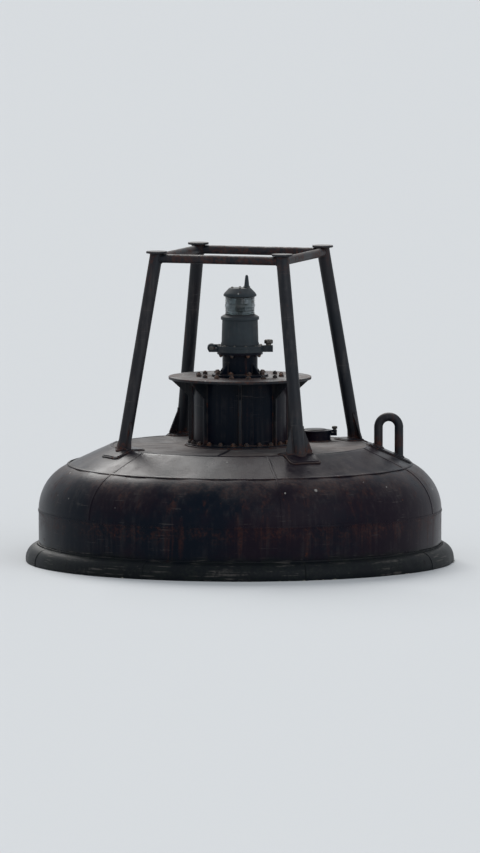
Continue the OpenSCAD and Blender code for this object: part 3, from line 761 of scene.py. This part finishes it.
strakeShape = {
    "pipeR": 0.085, "height": 0.020,
    "bump": 0.004,            # depth of a knock
    "ripple": 0.3,            # slow ripple, as a share of the bump
    "rippleLength": 0.5,
    "dents": 16, "dentReach": 0.055, "dentHeights": (-0.02, 0.06),
    "segments": 720, "rows": 26, "seed": 5,
}
strakeProud = nodeRadius("rubbing_strake") - hullR
pipeR, strakeZ = strakeShape["pipeR"], strakeShape["height"]
pipeCentreR = hullR + strakeProud - pipeR
pipeHalf = math.acos((hullR - pipeCentreR) / pipeR)      # half of the arc that stands proud


# Half pipe round the side: an arc of a circle turned round Z, pressed in by knocks along its nose
def makeStrake():
    look = strakeShape
    a = np.linspace(-pipeHalf, pipeHalf, look["rows"])
    arc = np.stack([pipeCentreR + pipeR * np.cos(a), strakeZ + pipeR * np.sin(a)], axis=1)
    rng = np.random.default_rng(look["seed"])
    turns = rng.uniform(0, fullTurn, look["dents"])
    knocks = aroundAxis(hullR + strakeProud, turns,
                        strakeZ + rng.uniform(*look["dentHeights"], look["dents"]))

    def press(v):
        inward = look["bump"] * look["ripple"] * (1 + waviness(v, look["rippleLength"], look["seed"]))
        for place in knocks:
            inward += look["bump"] * np.exp(-((v - place) ** 2).sum(axis=-1) / look["dentReach"] ** 2)
        r = np.hypot(v[..., 0], v[..., 1])
        return narrowed(v, 1 - inward * np.clip((r - hullR) / strakeProud, 0, 1) / r)
    return revolved(arc, look["segments"], closed=True, nudge=press)


for name, make, finish, node in (("hullSide", makeSide, "hull", "hull_side"),
                                   ("hullShoulder", makeShoulder, "hull", "hull_shoulder"),
                                   ("deckPlate", makeDeck, "deck", "deck_plate"),
                                   ("hullBottom", makeBottom, "hull", "hull_bottom"),
                                   ("rubbingStrake", makeStrake, "strake", "rubbing_strake")):
    makePiece(name, make(), finish, sharpDeg=38, stands=[node])
print("plating: side, shoulder, deck, bottom and strake")


# Welds: beads with the ripple of their runs

weldLook = {
    "ripple": 0.16,           # height of the ripple, as a share of the bead
    "pitch": 0.010,           # length of one ripple
    "wander": 0.10,           # slow change in the bead's size
    "wanderLength": 0.11,
    "off": 0.001,             # distance of a bead's middle from the wall that it follows
    "sides": 6, "ribSides": 5,
}
beadStep = weldLook["pitch"] / 2.5

# Height and width of each kind of bead in metres
beadSizes = {
    "hull": (0.0030, 0.0085), "strakeEdge": (0.008, 0.008), "strakeButt": (0.004, 0.008),
    "doubler": (0.006, 0.0075), "legFoot": (0.0075, 0.0075), "legCap": (0.006, 0.006),
    "legGusset": (0.005, 0.005), "rail": (0.005, 0.005), "drum": (0.007, 0.007),
    "drumBase": (0.009, 0.009), "rib": (0.0045, 0.0045), "post": (0.006, 0.006),
    "postGusset": (0.004, 0.004), "eye": (0.009, 0.009), "coaming": (0.006, 0.006),
}


# Bead along a path: a tube whose height and width swell as 1 + ripple * sin(2 pi s / pitch)
def bead(path, away, kind, closed=False):
    both = resampled(np.concatenate([path, np.broadcast_to(away, path.shape)], axis=1), beadStep, closed)
    path, away = both[:, :3], both[:, 3:]
    s = np.arange(len(path)) * beadStep
    size = 1 + weldLook["ripple"] * np.sin(fullTurn * s / weldLook["pitch"])
    size = size + weldLook["wander"] * waviness(path, weldLook["wanderLength"], 3, 10)
    high, wide = beadSizes[kind]
    sides = weldLook["ribSides" if kind == "rib" else "sides"]
    return tubeAlong(path, away, high * size, wide * size, sides, closed)


# Bead round a circle about Z, facing outwards and leaning up or down by lean
def ringBead(radius, z, kind, lean=0.0):
    path = circlePath(radius, z, beadStep)
    return bead(path, outwardOf(path) + lean * upward, kind, closed=True)


# Beads along several runs, each (path, away, kind, closed), at each of the turns about Z
def beadsRound(turns, runs):
    return [bead(turned(path, turn), turned(away, turn), kind, closed)
            for turn in turns for path, away, kind, closed in runs]


# Seam that lies on the skin: pressed in with it where a boat has dented it
def skinSeam(path, normals, closed=False):
    return bead(path - dentDepth(path)[:, None] * normals, normals, "hull", closed)


# Seams up a meridian of the skin at each of the turns, pressed in with the hollows there
def meridianSeams(degrees, skin, normals, window):
    seams = []
    for turn in np.radians(degrees):
        path, away = turned(skin, turn), turned(normals, turn)
        seams.append(skinSeam(path - hollowDepth(path, window)[:, None] * away, away))
    return seams


seamPlan = {
    "sideTurns": (252, 12, 132),                     # three plates round the side
    "shoulderTurns": (222, 282, 342, 42, 102, 162),  # six petals in the shoulder
    "deckTurns": (80, 260),                          # two half plates in the deck
    "strakeButts": np.arange(8) * 45 + 18,           # eight lengths of pipe round the strake
    "rows": 60, "deckRows": 30, "strakeRows": 40,
    "strakeOff": 0.002,                              # distance from the side to the strake's seams
}


# Seams of the float: rings at the edges of side, shoulder and deck, and runs up the meridians
def hullSeams():
    beads = []
    for radius, z in ((hullR, sideTop), (hullR, sideFoot)):
        path = circlePath(radius, z, beadStep)
        beads.append(skinSeam(path, outwardOf(path), closed=True))
    path = circlePath(*bendStart, beadStep)
    beads.append(skinSeam(path, onPlating(path[:, :2])[1], closed=True))
    path = circlePath(lipR, deckZ, beadStep)
    beads.append(skinSeam(path, np.broadcast_to(upward, path.shape), closed=True))
    rows = seamPlan["rows"]
    side = pointsAt(hullR, 0, np.linspace(sideFoot, sideTop, rows))
    skin = shoulderMeridian()
    tilt = platingTilt(skin[:, 0])
    deck = pointsAt(np.linspace(drumBaseR, lipR, seamPlan["deckRows"]), 0, deckZ)
    return joined(beads + meridianSeams(seamPlan["sideTurns"], side, outwardOf(side), sineWindow(rows))
                  + meridianSeams(seamPlan["shoulderTurns"], pointsAt(skin[:, 0], 0, skin[:, 1]),
                                  pointsAt(np.sin(tilt), 0, np.cos(tilt)), sineWindow(len(skin)))
                  + meridianSeams(seamPlan["deckTurns"], deck, 0 * deck + upward, 0.0))


# Seams of the strake: a ring above and below it, and butts across its pipe
def strakeSeams():
    rise = math.sqrt(pipeR ** 2 - (hullR - pipeCentreR) ** 2)
    beads = [ringBead(hullR + seamPlan["strakeOff"], strakeZ + side * rise, "strakeEdge", side)
             for side in (-1, 1)]
    a = np.linspace(-pipeHalf, pipeHalf, seamPlan["strakeRows"])
    away = pointsAt(np.cos(a), 0, np.sin(a))
    path = np.array([pipeCentreR, 0, strakeZ]) + (pipeR - weldLook["off"]) * away
    return joined(beads + beadsRound(np.radians(seamPlan["strakeButts"]),
                                     [(path, away, "strakeButt", False)]))


makePiece("hullSeams", hullSeams(), "hull")
makePiece("strakeSeams", strakeSeams(), "strake")


fittingSizes = {
    "legR": 0.038,
    "legGussetReach": 0.086, "legGussetFoot": 0.020, "legGussetTop": 0.170, "legGussetT": 0.010,
    "postR": 0.105, "postFlangeT": 0.014,
    "postGussetReach": 0.160, "postGussetRise": 0.071, "postGussetT": 0.010,
    "ribT": 0.012, "ribReach": 0.306, "flareReach": 0.403,
    "eyeBend": 0.061, "coamingR": 0.092, "tailFlangeT": 0.025,
}
# Points on the rings and runs that these welds follow
weldRows = {
    "legFoot": 48, "legCap": 40, "gussetFoot": 12, "gussetWall": 20, "rail": 32,
    "ribWall": 60, "ribFlare": 20, "ribFoot": 6, "postFoot": 8, "postWall": 10, "eye": 40,
    "seatRounds": 12,         # times that a leg's ring is set down on its plate
}
legR, postR = fittingSizes["legR"], fittingSizes["postR"]
legLean = math.atan((legFootR - legTopR) / (capFoot - deckZ))
legAxis = np.array([-math.sin(legLean), 0, math.cos(legLean)])
legOut = np.array([math.cos(legLean), 0, math.sin(legLean)])
legSide = np.array([0, 1.0, 0])
legFoot = np.array([legFootR, 0, deckZ])
postFoot = plateTop + fittingSizes["postFlangeT"]
postHead = topOf("pedestal") - fittingSizes["postFlangeT"]


# Height of a doubler's upper face at points x, y
def doublerHeight(points):
    r = np.hypot(points[:, 0], points[:, 1])
    return platingHeight(r) + floatShape["doublerLift"] / np.cos(platingTilt(r))


# Outline of a doubler about x = middle, a little above the plating
def doublerOutline(width, height, middle):
    outline = roundRect(width, height, floatShape["doublerCorner"], (middle, 0), beadStep)
    return onPlating(outline, floatShape["doublerSeam"])


# Directions square to a leg, evenly round its tube
def roundLeg(count):
    a = evenTurns(count)[:, None]
    return np.cos(a) * legOut + np.sin(a) * legSide


# Points moved along a leg to the height given
def alongLeg(points, height):
    return points + ((height - points[:, 2]) / legAxis[2])[:, None] * legAxis


# Ring where a leg's tube meets its doubler: each line of the tube is followed along the leg until
# its height is the plate's there
def legFootRing():
    away = roundLeg(weldRows["legFoot"])
    ring = legFoot + legR * away
    for _ in range(weldRows["seatRounds"]):
        ring = alongLeg(ring, doublerHeight(ring))
    return ring, away


# Ring where a leg meets the level underside of its cap
def legCapRing():
    away = roundLeg(weldRows["legCap"])
    return alongLeg(legFoot + legR * away, capFoot), away


# Ring where a rail that starts on a leg's axis leaves its tube: each line of the rail is followed
# to the distance legR from the axis, which is a quadratic in the length along the rail
def railRing(start, along, axis):
    a = evenTurns(weldRows["rail"])[:, None]
    away = np.cos(a) * upward + np.sin(a) * np.cross(along, upward)
    line, way = (v - np.multiply.outer(v @ axis, axis) for v in (railR * away, along))
    a, b, c = way @ way, line @ way, (line ** 2).sum(axis=1) - legR ** 2
    t = (-b + np.sqrt(b ** 2 - a * c)) / a
    return start + railR * away + t[:, None] * along, away


# Welds of a leg, from its doubler up to its cap, on all four; and the eye's doubler
def cageWelds():
    size, rows, width = fittingSizes, weldRows, floatShape["doublerWidth"]
    half, off = size["legGussetT"] / 2, legR + weldLook["off"]
    runs = [(*doublerOutline(width, width, legFootR), "doubler", True),
            (*legFootRing(), "legFoot", True), (*legCapRing(), "legCap", True)]
    for side in (-1, 1):
        for face in (-1, 1):
            y = np.linspace(side * legR, side * size["legGussetReach"], rows["gussetFoot"])
            foot = onPlating(pointsAt(legFootR + face * half, y, 0)[:, :2], floatShape["doublerLift"])
            t = np.linspace(size["legGussetFoot"], size["legGussetTop"], rows["gussetWall"])[:, None]
            wall = legFoot + t * legAxis + side * off * legSide + face * half * legOut
            runs += [(*foot, "legGusset", False),
                     (wall, side * legSide + face * legOut, "legGusset", False)]
    pad = doublerOutline(*floatShape["eyePad"], eyeX)
    return joined([*beadsRound(legTurns, runs), bead(*pad, "doubler", closed=True)])


# Rings at both ends of a rail that runs from one leg's axis to the next, on all four
def railWelds():
    start = legFoot + (railZ - deckZ) / legAxis[2] * legAxis
    end = turned(start, quarterTurn)
    along = unit(end - start)
    rings = (railRing(start, along, legAxis), railRing(end, -along, turned(legAxis, quarterTurn)))
    return joined(beadsRound(legTurns, [(*ring, "rail", True) for ring in rings]))


# Rings round the drum and its base, and runs up, over and under both faces of each rib
def drumWelds():
    size, rows, runs = fittingSizes, weldRows, []
    for face in (-1, 1):
        y = face * size["ribT"] / 2
        wall = pointsAt(drumR + weldLook["off"], y, np.linspace(drumFoot, drumTop, rows["ribWall"]))
        flare = pointsAt(np.linspace(drumR, size["flareReach"], rows["ribFlare"]), y, drumTop)
        foot = pointsAt(np.linspace(drumR, size["ribReach"], rows["ribFoot"]), y, drumFoot)
        runs += [(wall, np.array([1.0, face, 0]), "rib", False),
                 (flare, np.array([0, face, -1.0]), "rib", False),
                 (foot, np.array([0, face, 1.0]), "rib", False)]
    return joined([ringBead(drumR, drumFoot, "drum"), ringBead(drumBaseR, deckZ, "drumBase"),
                   *beadsRound(evenTurns(8), runs)])


# Rings at the pedestal's two ends, the eye's two feet and the valve box, and the gussets' runs
def fittingWelds():
    size, rows, runs = fittingSizes, weldRows, []
    for face in (-1, 1):
        y = face * size["postGussetT"] / 2
        foot = pointsAt(np.linspace(postR, size["postGussetReach"], rows["postFoot"]), y, postFoot)
        z = np.linspace(postFoot, postFoot + size["postGussetRise"], rows["postWall"])
        wall = pointsAt(postR + weldLook["off"], y, z)
        runs += [(foot, upward, "postGusset", False), (wall, outwardOf(wall), "postGusset", False)]
    beads = [ringBead(postR, postFoot, "post", 1), ringBead(postR, postHead, "post", -1),
             *beadsRound(crossTurns, runs)]
    for x in (eyeX - size["eyeBend"], eyeX + size["eyeBend"]):
        away = aroundAxis(1.0, evenTurns(rows["eye"]), 0)
        path = eyeBarR * away + np.array([x, 0, 0])
        path[:, 2] = doublerHeight(path)
        beads.append(bead(path, away, "eye", closed=True))
    path = circlePath(size["coamingR"], deckZ, beadStep)
    coaming = bead(path + valveMiddle * np.array([1, 1, 0]), outwardOf(path), "coaming", closed=True)
    return joined([*beads, coaming])


makePiece("cageWelds", cageWelds(), "weld")
makePiece("railWelds", railWelds(), "weld")
makePiece("drumWelds", drumWelds(), "weld")
makePiece("fittingWelds", fittingWelds(), "weld")
print("welds: hull, strake, cage, rails, drum and fittings")


# Bolts

boltPlan = {
    # diameter, count, circle's radius, height, first turn in degrees, nuts turned over
    "deckBolts": (
        (0.016, 24, 0.5 * (drumR + drumBaseR), drumFoot, 7.5, False),
        (0.016, 16, 0.250, plateTop, 11.25, False),
        (0.016, 8, 0.142, postFoot, 22.5, False),
        (0.012, 8, 0.123, postHead, 22.5, True),
    ),
    "tailBolts": (
        (0.030, 8, 0.343, topOf("ballast_1") + fittingSizes["tailFlangeT"], 22.5, False),
        (0.030, 8, 0.343, footOf("ballast_3"), 22.5, True),
        (0.030, 6, 0.235, footOf("keel_plate"), 30, True),
    ),
}


# Nut with its washer and the stud's end, in shares of the thread's diameter: three stacks of
# rings, the nut's with six sides
def studNut(d):
    washer = np.array([(0, 0), (1.15, 0), (1.15, 0.12), (1.08, 0.16), (0, 0.16)])
    nut = np.array([(0, 0.1), (0.86, 0.1), (0.90, 0.2), (0.90, 0.84), (0.78, 0.94), (0, 0.94)])
    stud = np.array([(0, 0.5), (0.5, 0.5), (0.5, 1.22), (0.42, 1.32), (0, 1.32)])
    return joined([revolved(washer * d, 20), revolved(nut * d, 6), revolved(stud * d, 12)])


# Points evenly round a circle about Z from a first turn in degrees, and their turns
def ringPlaces(count, radius, z, first):
    turns = math.radians(first) + evenTurns(count)
    return aroundAxis(radius, turns, z), turns


# Nuts round a circle, each with its flats at a turn of its own
def boltRing(d, count, radius, z, first, over):
    spin = np.random.default_rng(count).uniform(0, fullTurn, count)
    nut = upsideDown(studNut(d)) if over else studNut(d)
    return stamped(nut, ringPlaces(count, radius, z, first)[0], spin)


for name, rows in boltPlan.items():
    makePiece(name, joined([boltRing(*row) for row in rows]), "boltSteel", sharpDeg=30)
print("bolts:", sum(row[1] for rows in boltPlan.values() for row in rows), "nuts")


# Flame-cut plates and castings: a small round on every hard edge of the frame's own mesh

# Width of the round in metres for each node
roundPlan = {
    "buoy": {
        "foot_doublers": 0.0020, "leg_1": 0.0015, "leg_2": 0.0015, "leg_3": 0.0015, "leg_4": 0.0015,
        "leg_caps": 0.0015, "drum_base": 0.0020, "drum_ribs": 0.0015, "service_plate": 0.0020,
        "pedestal": 0.0015, "pedestal_gussets": 0.0012, "lantern_base": 0.0020,
        "lifting_pad": 0.0020, "valve_coaming": 0.0012,
        "tail_tube": 0.0020, "tail_gussets": 0.0020, "ballast_1": 0.0050, "ballast_2": 0.0050,
        "ballast_3": 0.0050, "keel_plate": 0.0025, "mooring_lug": 0.0030, "anodes": 0.0070,
    },
    "lantern": {"lantern_body": 0.0015, "lantern_cap": 0.0012},
    "lid": {"valve_lid": 0.0012},
}
roundSteps = 2
roundAngle = math.radians(35)
flatAngle = math.radians(0.4)
sameSpot = 1e-5


# Copy of a node with its doubled points merged and its flat faces joined, so that a bevel can
# round the edges sharper than roundAngle; big faces then hold the shading flat
def softEdges(name, body, width):
    build = bmesh.new()
    build.from_mesh(frame["nodes"][name].data)
    bmesh.ops.remove_doubles(build, verts=build.verts, dist=sameSpot)
    bmesh.ops.dissolve_limit(build, angle_limit=flatAngle, verts=build.verts, edges=build.edges)
    mesh = bpy.data.meshes.new(name + "Round")
    build.to_mesh(mesh)
    build.free()
    mesh.polygons.foreach_set("use_smooth", np.ones(len(mesh.polygons), bool))
    mesh.materials.clear()
    slot = slotOf[name]
    piece = placePiece(name + "Round", mesh, materials[slotMaterials[slot]], body, [name])
    bevel = piece.modifiers.new("rounds", "BEVEL")
    bevel.width = width
    bevel.segments = roundSteps
    bevel.limit_method = "ANGLE"
    bevel.angle_limit = roundAngle
    bevel.use_clamp_overlap = True
    flat = piece.modifiers.new("flatFaces", "WEIGHTED_NORMAL")
    flat.keep_sharp = False


for body, widths in roundPlan.items():
    for name, width in widths.items():
        softEdges(name, body, width)
print("rounded edges:", sum(len(widths) for widths in roundPlan.values()), "pieces")


# Knobs, lamp and trim of the lantern and the lid

knobShape = {
    "handTall": 0.034,        # height of the hand screw's knob over the lantern's flange
    "lidShankLong": 0.030,    # length of the lid screw's shank
    "flutes": 8, "fluteDepth": 0.10,
    "fluteFrom": 0.65,        # share of the radius at which the flutes begin
    "fluteFull": 0.90,
    "chamfer": 0.001, "segments": 96,
    # shares of the knob's radius and of its height above its seat
    "profile": ((0.6, 0), (0.6, 0.25), (0.92, 0.31), (1, 0.40), (1, 0.82), (0.93, 0.93), (0.80, 1),
                (0.46, 1), (0.42, 0.95), (0, 0.95)),
}
headFlange = topOf("hand_screw") - knobShape["handTall"]
knobPlan = {
    # node, body, radius of the shank, height of the seat
    "handScrew": ("hand_screw", "lantern", 0.006, headFlange),
    "valveScrew": ("valve_screw", "lid", 0.005, footOf("valve_screw") + knobShape["lidShankLong"]),
}


# Fluted knob on its shank, in the node's place: the radius of the profile's wide part times
# 1 - depth * (half of 1 + cos(flutes * a)) squared
def flutedKnob(node, shank, seat):
    look, (low, high) = knobShape, nodeBox(node)
    radius, foot, tall = float(high[0] - low[0]) / 2, float(low[2]), float(high[2]) - seat
    profile = [(0, foot), (shank - look["chamfer"], foot), (shank, foot + look["chamfer"]), (shank, seat),
               *((r * radius, seat + h * tall) for r, h in look["profile"])]

    def flute(v):
        share = np.hypot(v[..., 0], v[..., 1]) / radius
        wide = np.clip((share - look["fluteFrom"]) / (look["fluteFull"] - look["fluteFrom"]), 0, 1)
        a = np.arctan2(v[..., 1], v[..., 0])
        groove = look["fluteDepth"] * (0.5 + 0.5 * np.cos(look["flutes"] * a)) ** 2
        return narrowed(v, 1 - groove * wide)
    verts, quads, tris = revolved(profile, look["segments"], nudge=flute)
    return verts + (low + high) / 2 * np.array([1, 1, 0]), quads, tris


for name, (node, body, shank, seat) in knobPlan.items():
    makePiece(name, flutedKnob(node, shank, seat), "fittingMetal", body, 40, [node])


# The lamp's small lights in rows round it, each row half a step on from the last
lampLook = {"rows": 4, "perRow": 14, "domeR": 0.0028, "radius": 0.0298, "between": (0.46, 0.80)}


# Small dome that stands along +Z: a ring at its foot, more that close in, and its pole
def dome(radius):
    a = np.linspace(0, quarterTurn, 5)[:-1]
    return revolved([(0, 0), *zip(radius * np.cos(a), radius * np.sin(a)), (0, radius)], 10)


def lampLights():
    look, foot, top = lampLook, footOf("lamp"), topOf("lamp")
    rows = foot + (top - foot) * np.linspace(*look["between"], look["rows"])
    turns, z = np.meshgrid(evenTurns(look["perRow"]), rows)
    turns = turns + (np.arange(look["rows"]) % 2)[:, None] * math.pi / look["perRow"]
    points = aroundAxis(look["radius"], turns.ravel(), z.ravel())
    return planted(dome(look["domeR"]), points, outwardOf(points))


makePiece("lampLights", lampLights(), "lampMetal", "lantern")

gasketLook = {"r": 0.0032, "inset": 0.004, "fromEdge": 0.002, "step": 0.004}


# Rings of round section that seal the lens at its foot and its top
def gaskets():
    look, rings = gasketLook, []
    for z in (footOf("lens") + look["fromEdge"], topOf("lens") - look["fromEdge"]):
        path = circlePath(float(nodeBox("lens")[1][0]) - look["inset"], z, look["step"])
        rings.append(tubeAlong(path, outwardOf(path), look["r"], look["r"], closed=True))
    return joined(rings)


makePiece("lensGaskets", gaskets(), "rubber", "lantern")

screwPlan = (
    # diameter, count, circle's radius, height, first turn in degrees
    (0.008, 6, 0.054, topOf("lantern_cap"), 30),
    (0.009, 12, 0.128, headFlange, 15),
)


# Low round screw head: a disc with a domed top
def roundHead(d):
    return revolved([(0, -0.001), (0.9 * d, -0.001), (0.9 * d, 0.2 * d), (0.72 * d, 0.5 * d),
                     (0.4 * d, 0.62 * d), (0, 0.64 * d)], 16)


screws = [stamped(roundHead(d), *ringPlaces(*places)) for d, *places in screwPlan]
makePiece("lanternScrews", joined(screws), "fittingMetal", "lantern", 40)
print("lantern: knobs, lights, gaskets and screws")


# Anode straps: a flat tab above and below each anode, and a nut on each tab

strapLook = {"wide": 0.050, "tall": 0.085, "thick": 0.008, "chamfer": 0.0015, "lap": 0.012,
             "nut": 0.016, "sunk": 0.001, "nutSunk": 0.0015}


# Four-sided block with chamfered ends along Z, turned square and stretched to its three sizes
def block(wide, deep, tall, chamfer):
    h, inner = tall / 2, 0.5 - chamfer / wide
    v, q, t = revolved([(0, -h), (inner, -h), (0.5, -h + chamfer), (0.5, h - chamfer), (inner, h),
                        (0, h)], 4)
    return turned(v, math.pi / 4) * np.array([wide * math.sqrt(2), deep * math.sqrt(2), 1]), q, t


def anodeStraps():
    look = strapLook
    beyond = look["tall"] / 2 - look["lap"]
    heights = [footOf("anodes") - beyond, topOf("anodes") + beyond]
    turns, z = (grid.ravel() for grid in np.meshgrid(crossTurns, heights, indexing="ij"))
    tab = block(look["thick"], look["wide"], look["tall"], look["chamfer"])
    tabs = aroundAxis(hullR + look["thick"] / 2 - look["sunk"], turns, z)
    nuts = aroundAxis(hullR + look["thick"] - look["nutSunk"], turns, z)
    return joined([stamped(tab, tabs, turns), planted(studNut(look["nut"]), nuts, outwardOf(nuts))])


makePiece("anodeStraps", anodeStraps(), "boltSteel", sharpDeg=35)


# Sea growth

growth = {
    "clumps": 60, "seed": 77,
    "barnacles": 2200, "size": (0.003, 0.0095), "spread": 0.07,
    "strakeShare": 0.45, "sideShare": 0.35,       # the rest sits on the tail
    "strakeTurns": (-68, -14),                    # degrees below the strake's nose
    "sideTop": -0.08, "tailHeights": (-1.45, -0.80),
    "sunk": (0.001, 0.002, 0.001),                # into the strake, the side and the tail
    "weed": 420, "weedLength": (0.05, 0.16), "weedSpread": 0.05, "weedSway": 0.014,
    "weedTop": -0.050, "weedOff": (0.004, 0.03), "weedWide": 0.0045, "weedThick": 0.0012,
    "weedTip": 0.0004, "weedWave": 0.004, "weedWaves": 7, "weedPhase": 40,
    "weedLean": 0.002, "weedRows": 7,
}


# Turns about Z scattered round the clumps' middles
def clumpedTurns(rng, count, spread):
    middles = rng.uniform(0, fullTurn, growth["clumps"])
    return middles[rng.integers(0, growth["clumps"], count)] + rng.normal(0, spread, count)


# Barnacle: a cone with a sunken mouth, turned from a short profile
def barnacle():
    return revolved([(0, -0.1), (1.0, -0.1), (0.72, 0.42), (0.46, 0.80), (0.30, 0.55), (0, 0.48)], 7)


# Points and normals on the wetted skin: strake, side and tail, picked by seeded chance
def wettedPlaces(rng, count):
    turn = clumpedTurns(rng, count, growth["spread"])
    b = rng.uniform(*np.radians(growth["strakeTurns"]), count)
    sideZ = rng.uniform(sideFoot, growth["sideTop"], count)
    kind = rng.uniform(0, 1, count)
    tailZ = rng.uniform(*growth["tailHeights"], count)
    onStrake = kind < growth["strakeShare"]
    onSide = kind < growth["strakeShare"] + growth["sideShare"]
    choices = ((pipeCentreR + pipeR * np.cos(b), hullR, tailR), growth["sunk"],
               (strakeZ + pipeR * np.sin(b), sideZ, tailZ), (np.cos(b), 1.0, 1.0), (np.sin(b), 0.0, 0.0))
    r, sunk, z, out, rise = (np.where(onStrake, strake, np.where(onSide, side, tail))
                             for strake, side, tail in choices)
    return aroundAxis(r - sunk, turn, z), aroundAxis(out, turn, rise)


# Barnacles stand along the skin's normals, each with a size and a turn of its own
def makeBarnacles():
    rng = np.random.default_rng(growth["seed"])
    points, normals = wettedPlaces(rng, growth["barnacles"])
    sizes = rng.uniform(*growth["size"], growth["barnacles"])
    turns = rng.uniform(0, fullTurn, growth["barnacles"])
    return planted(barnacle(), points, normals, sizes, turns)


# Weed: thin blades that hang from the strake's lower edge, each a tube of four sides that tapers
# as 1 - s cubed down its length s and waves as sin(waves * s)
def makeWeed():
    look, rng = growth, np.random.default_rng(growth["seed"] + 1)
    count, rows = look["weed"], look["weedRows"]
    turn = clumpedTurns(rng, count, look["weedSpread"])[:, None]
    length = rng.uniform(*look["weedLength"], count)[:, None]
    sway = rng.normal(0, look["weedSway"], count)[:, None]
    radius = hullR + rng.uniform(*look["weedOff"], count)[:, None]
    s = np.linspace(0, 1, rows)
    wave = look["weedWave"] * np.sin(look["weedWaves"] * s + turn * look["weedPhase"])
    swing = turn + (sway * s ** 2 + wave) / hullR
    middle = aroundAxis(radius - look["weedLean"] * s, swing, look["weedTop"] - length * s)
    along, out = aroundAxis(1.0, swing + quarterTurn, 0), aroundAxis(1.0, swing, 0)
    b = evenTurns(4)[:, None]
    wide = (look["weedWide"] * (1 - s ** 3) + look["weedTip"])[:, None, None]
    ring = (middle[:, :, None] + wide * np.cos(b) * along[:, :, None]
            - look["weedThick"] * np.sin(b) * out[:, :, None])
    last = 4 * (rows - 1)
    ends = np.array([[0, 1, 2], [0, 2, 3], [last, last + 2, last + 1], [last, last + 3, last + 2]])
    return copied(ring.reshape(count, -1, 3), gridQuads(rows, 4)[:, ::-1], ends)


makePiece("barnacles", makeBarnacles(), "shell", sharpDeg=50)
makePiece("weed", makeWeed(), "weedSkin")
print("sea growth:", growth["barnacles"], "barnacles and", growth["weed"], "blades of weed")


# Floor, light and camera

stageLook = {
    "floorSize": 500.0,
    "floorTone": shade(206, 209, 212), "floorRough": 0.8,
    "skyTone": (0.877, 0.913, 0.951, 1.0),
    "skyStrength": 0.50,
    "skySeen": 0.78,          # paleness of the horizon for the camera, glass and metal
    "lampsAway": 12,
}
sunPlan = {
    # direction it comes from, strength, softness in degrees, tone
    "keyLight": ((-0.15, 0.72, 0.68), 2.6, 30, (1.0, 0.98, 0.95)),
    "fillLight": ((0.55, -0.70, 0.45), 0.8, 60, (0.94, 0.97, 1.0)),
}
cameraSetup = {
    "elevation": 5.0,         # degrees above the horizon, from the ellipses in the photograph
    "distance": 67.0,         # metres, from the horizon's row
    "aimHeight": 0.80,
    "pixelsPerMetre": 168.0,
    "frameLong": 853, "clipEnd": 600,
}


def makeFloor():
    half = stageLook["floorSize"] / 2
    mesh = bpy.data.meshes.new("floor")
    corners = [(-half, -half, 0), (half, -half, 0), (half, half, 0), (-half, half, 0)]
    mesh.from_pydata(corners, [], [(0, 1, 2, 3)])
    material, _, shader, _ = startMaterial("floorPale", specular=0.0)
    shader.inputs["Base Color"].default_value = stageLook["floorTone"]
    shader.inputs["Roughness"].default_value = stageLook["floorRough"]
    mesh.materials.append(material)
    floor = bpy.data.objects.new("floor", mesh)
    bpy.context.scene.collection.objects.link(floor)


# Broad soft lamp far away: it shines along the line from the direction given to the origin
def makeSun(name, comesFrom, strength, softness, tone):
    data = bpy.data.lights.new(name, "SUN")
    data.energy = strength
    data.angle = math.radians(softness)
    data.color = tone
    lamp = bpy.data.objects.new(name, data)
    x, y, z = comesFrom
    lamp.rotation_euler = (math.atan2(math.hypot(x, y), z), 0, math.atan2(x, -y))
    lamp.location = np.array(comesFrom) * stageLook["lampsAway"]
    bpy.context.scene.collection.objects.link(lamp)


# The world lights the object at one strength, and shows another to the camera, glass and metal
def makeWorld():
    world = bpy.data.worlds.new("studio")
    bpy.context.scene.world = world
    world.use_nodes = True
    tree = world.node_tree
    back = tree.nodes["Background"]
    back.inputs["Color"].default_value = stageLook["skyTone"]
    path = addNode(tree, "LightPath").outputs
    seen = strongest(tree, path["Is Camera Ray"], path["Is Glossy Ray"], path["Is Transmission Ray"])
    gap = stageLook["skySeen"] - stageLook["skyStrength"]
    strength = total(tree, product(tree, seen, gap), stageLook["skyStrength"])
    tree.links.new(strength, back.inputs["Strength"])


def makeCamera():
    tilt = math.radians(cameraSetup["elevation"])
    far = cameraSetup["distance"]
    data = bpy.data.cameras.new("camera")
    data.lens = cameraSetup["pixelsPerMetre"] * far * data.sensor_width / cameraSetup["frameLong"]
    data.clip_end = cameraSetup["clipEnd"]
    camera = bpy.data.objects.new("camera", data)
    camera.location = (0, -far * math.cos(tilt), cameraSetup["aimHeight"] + far * math.sin(tilt))
    camera.rotation_euler = (math.pi / 2 - tilt, 0, 0)
    bpy.context.scene.collection.objects.link(camera)
    bpy.context.scene.camera = camera


makeFloor()
for name, sun in sunPlan.items():
    makeSun(name, *sun)
makeWorld()
makeCamera()
bpy.context.scene.view_settings.view_transform = "Standard"
print("stage: floor, lights and camera")
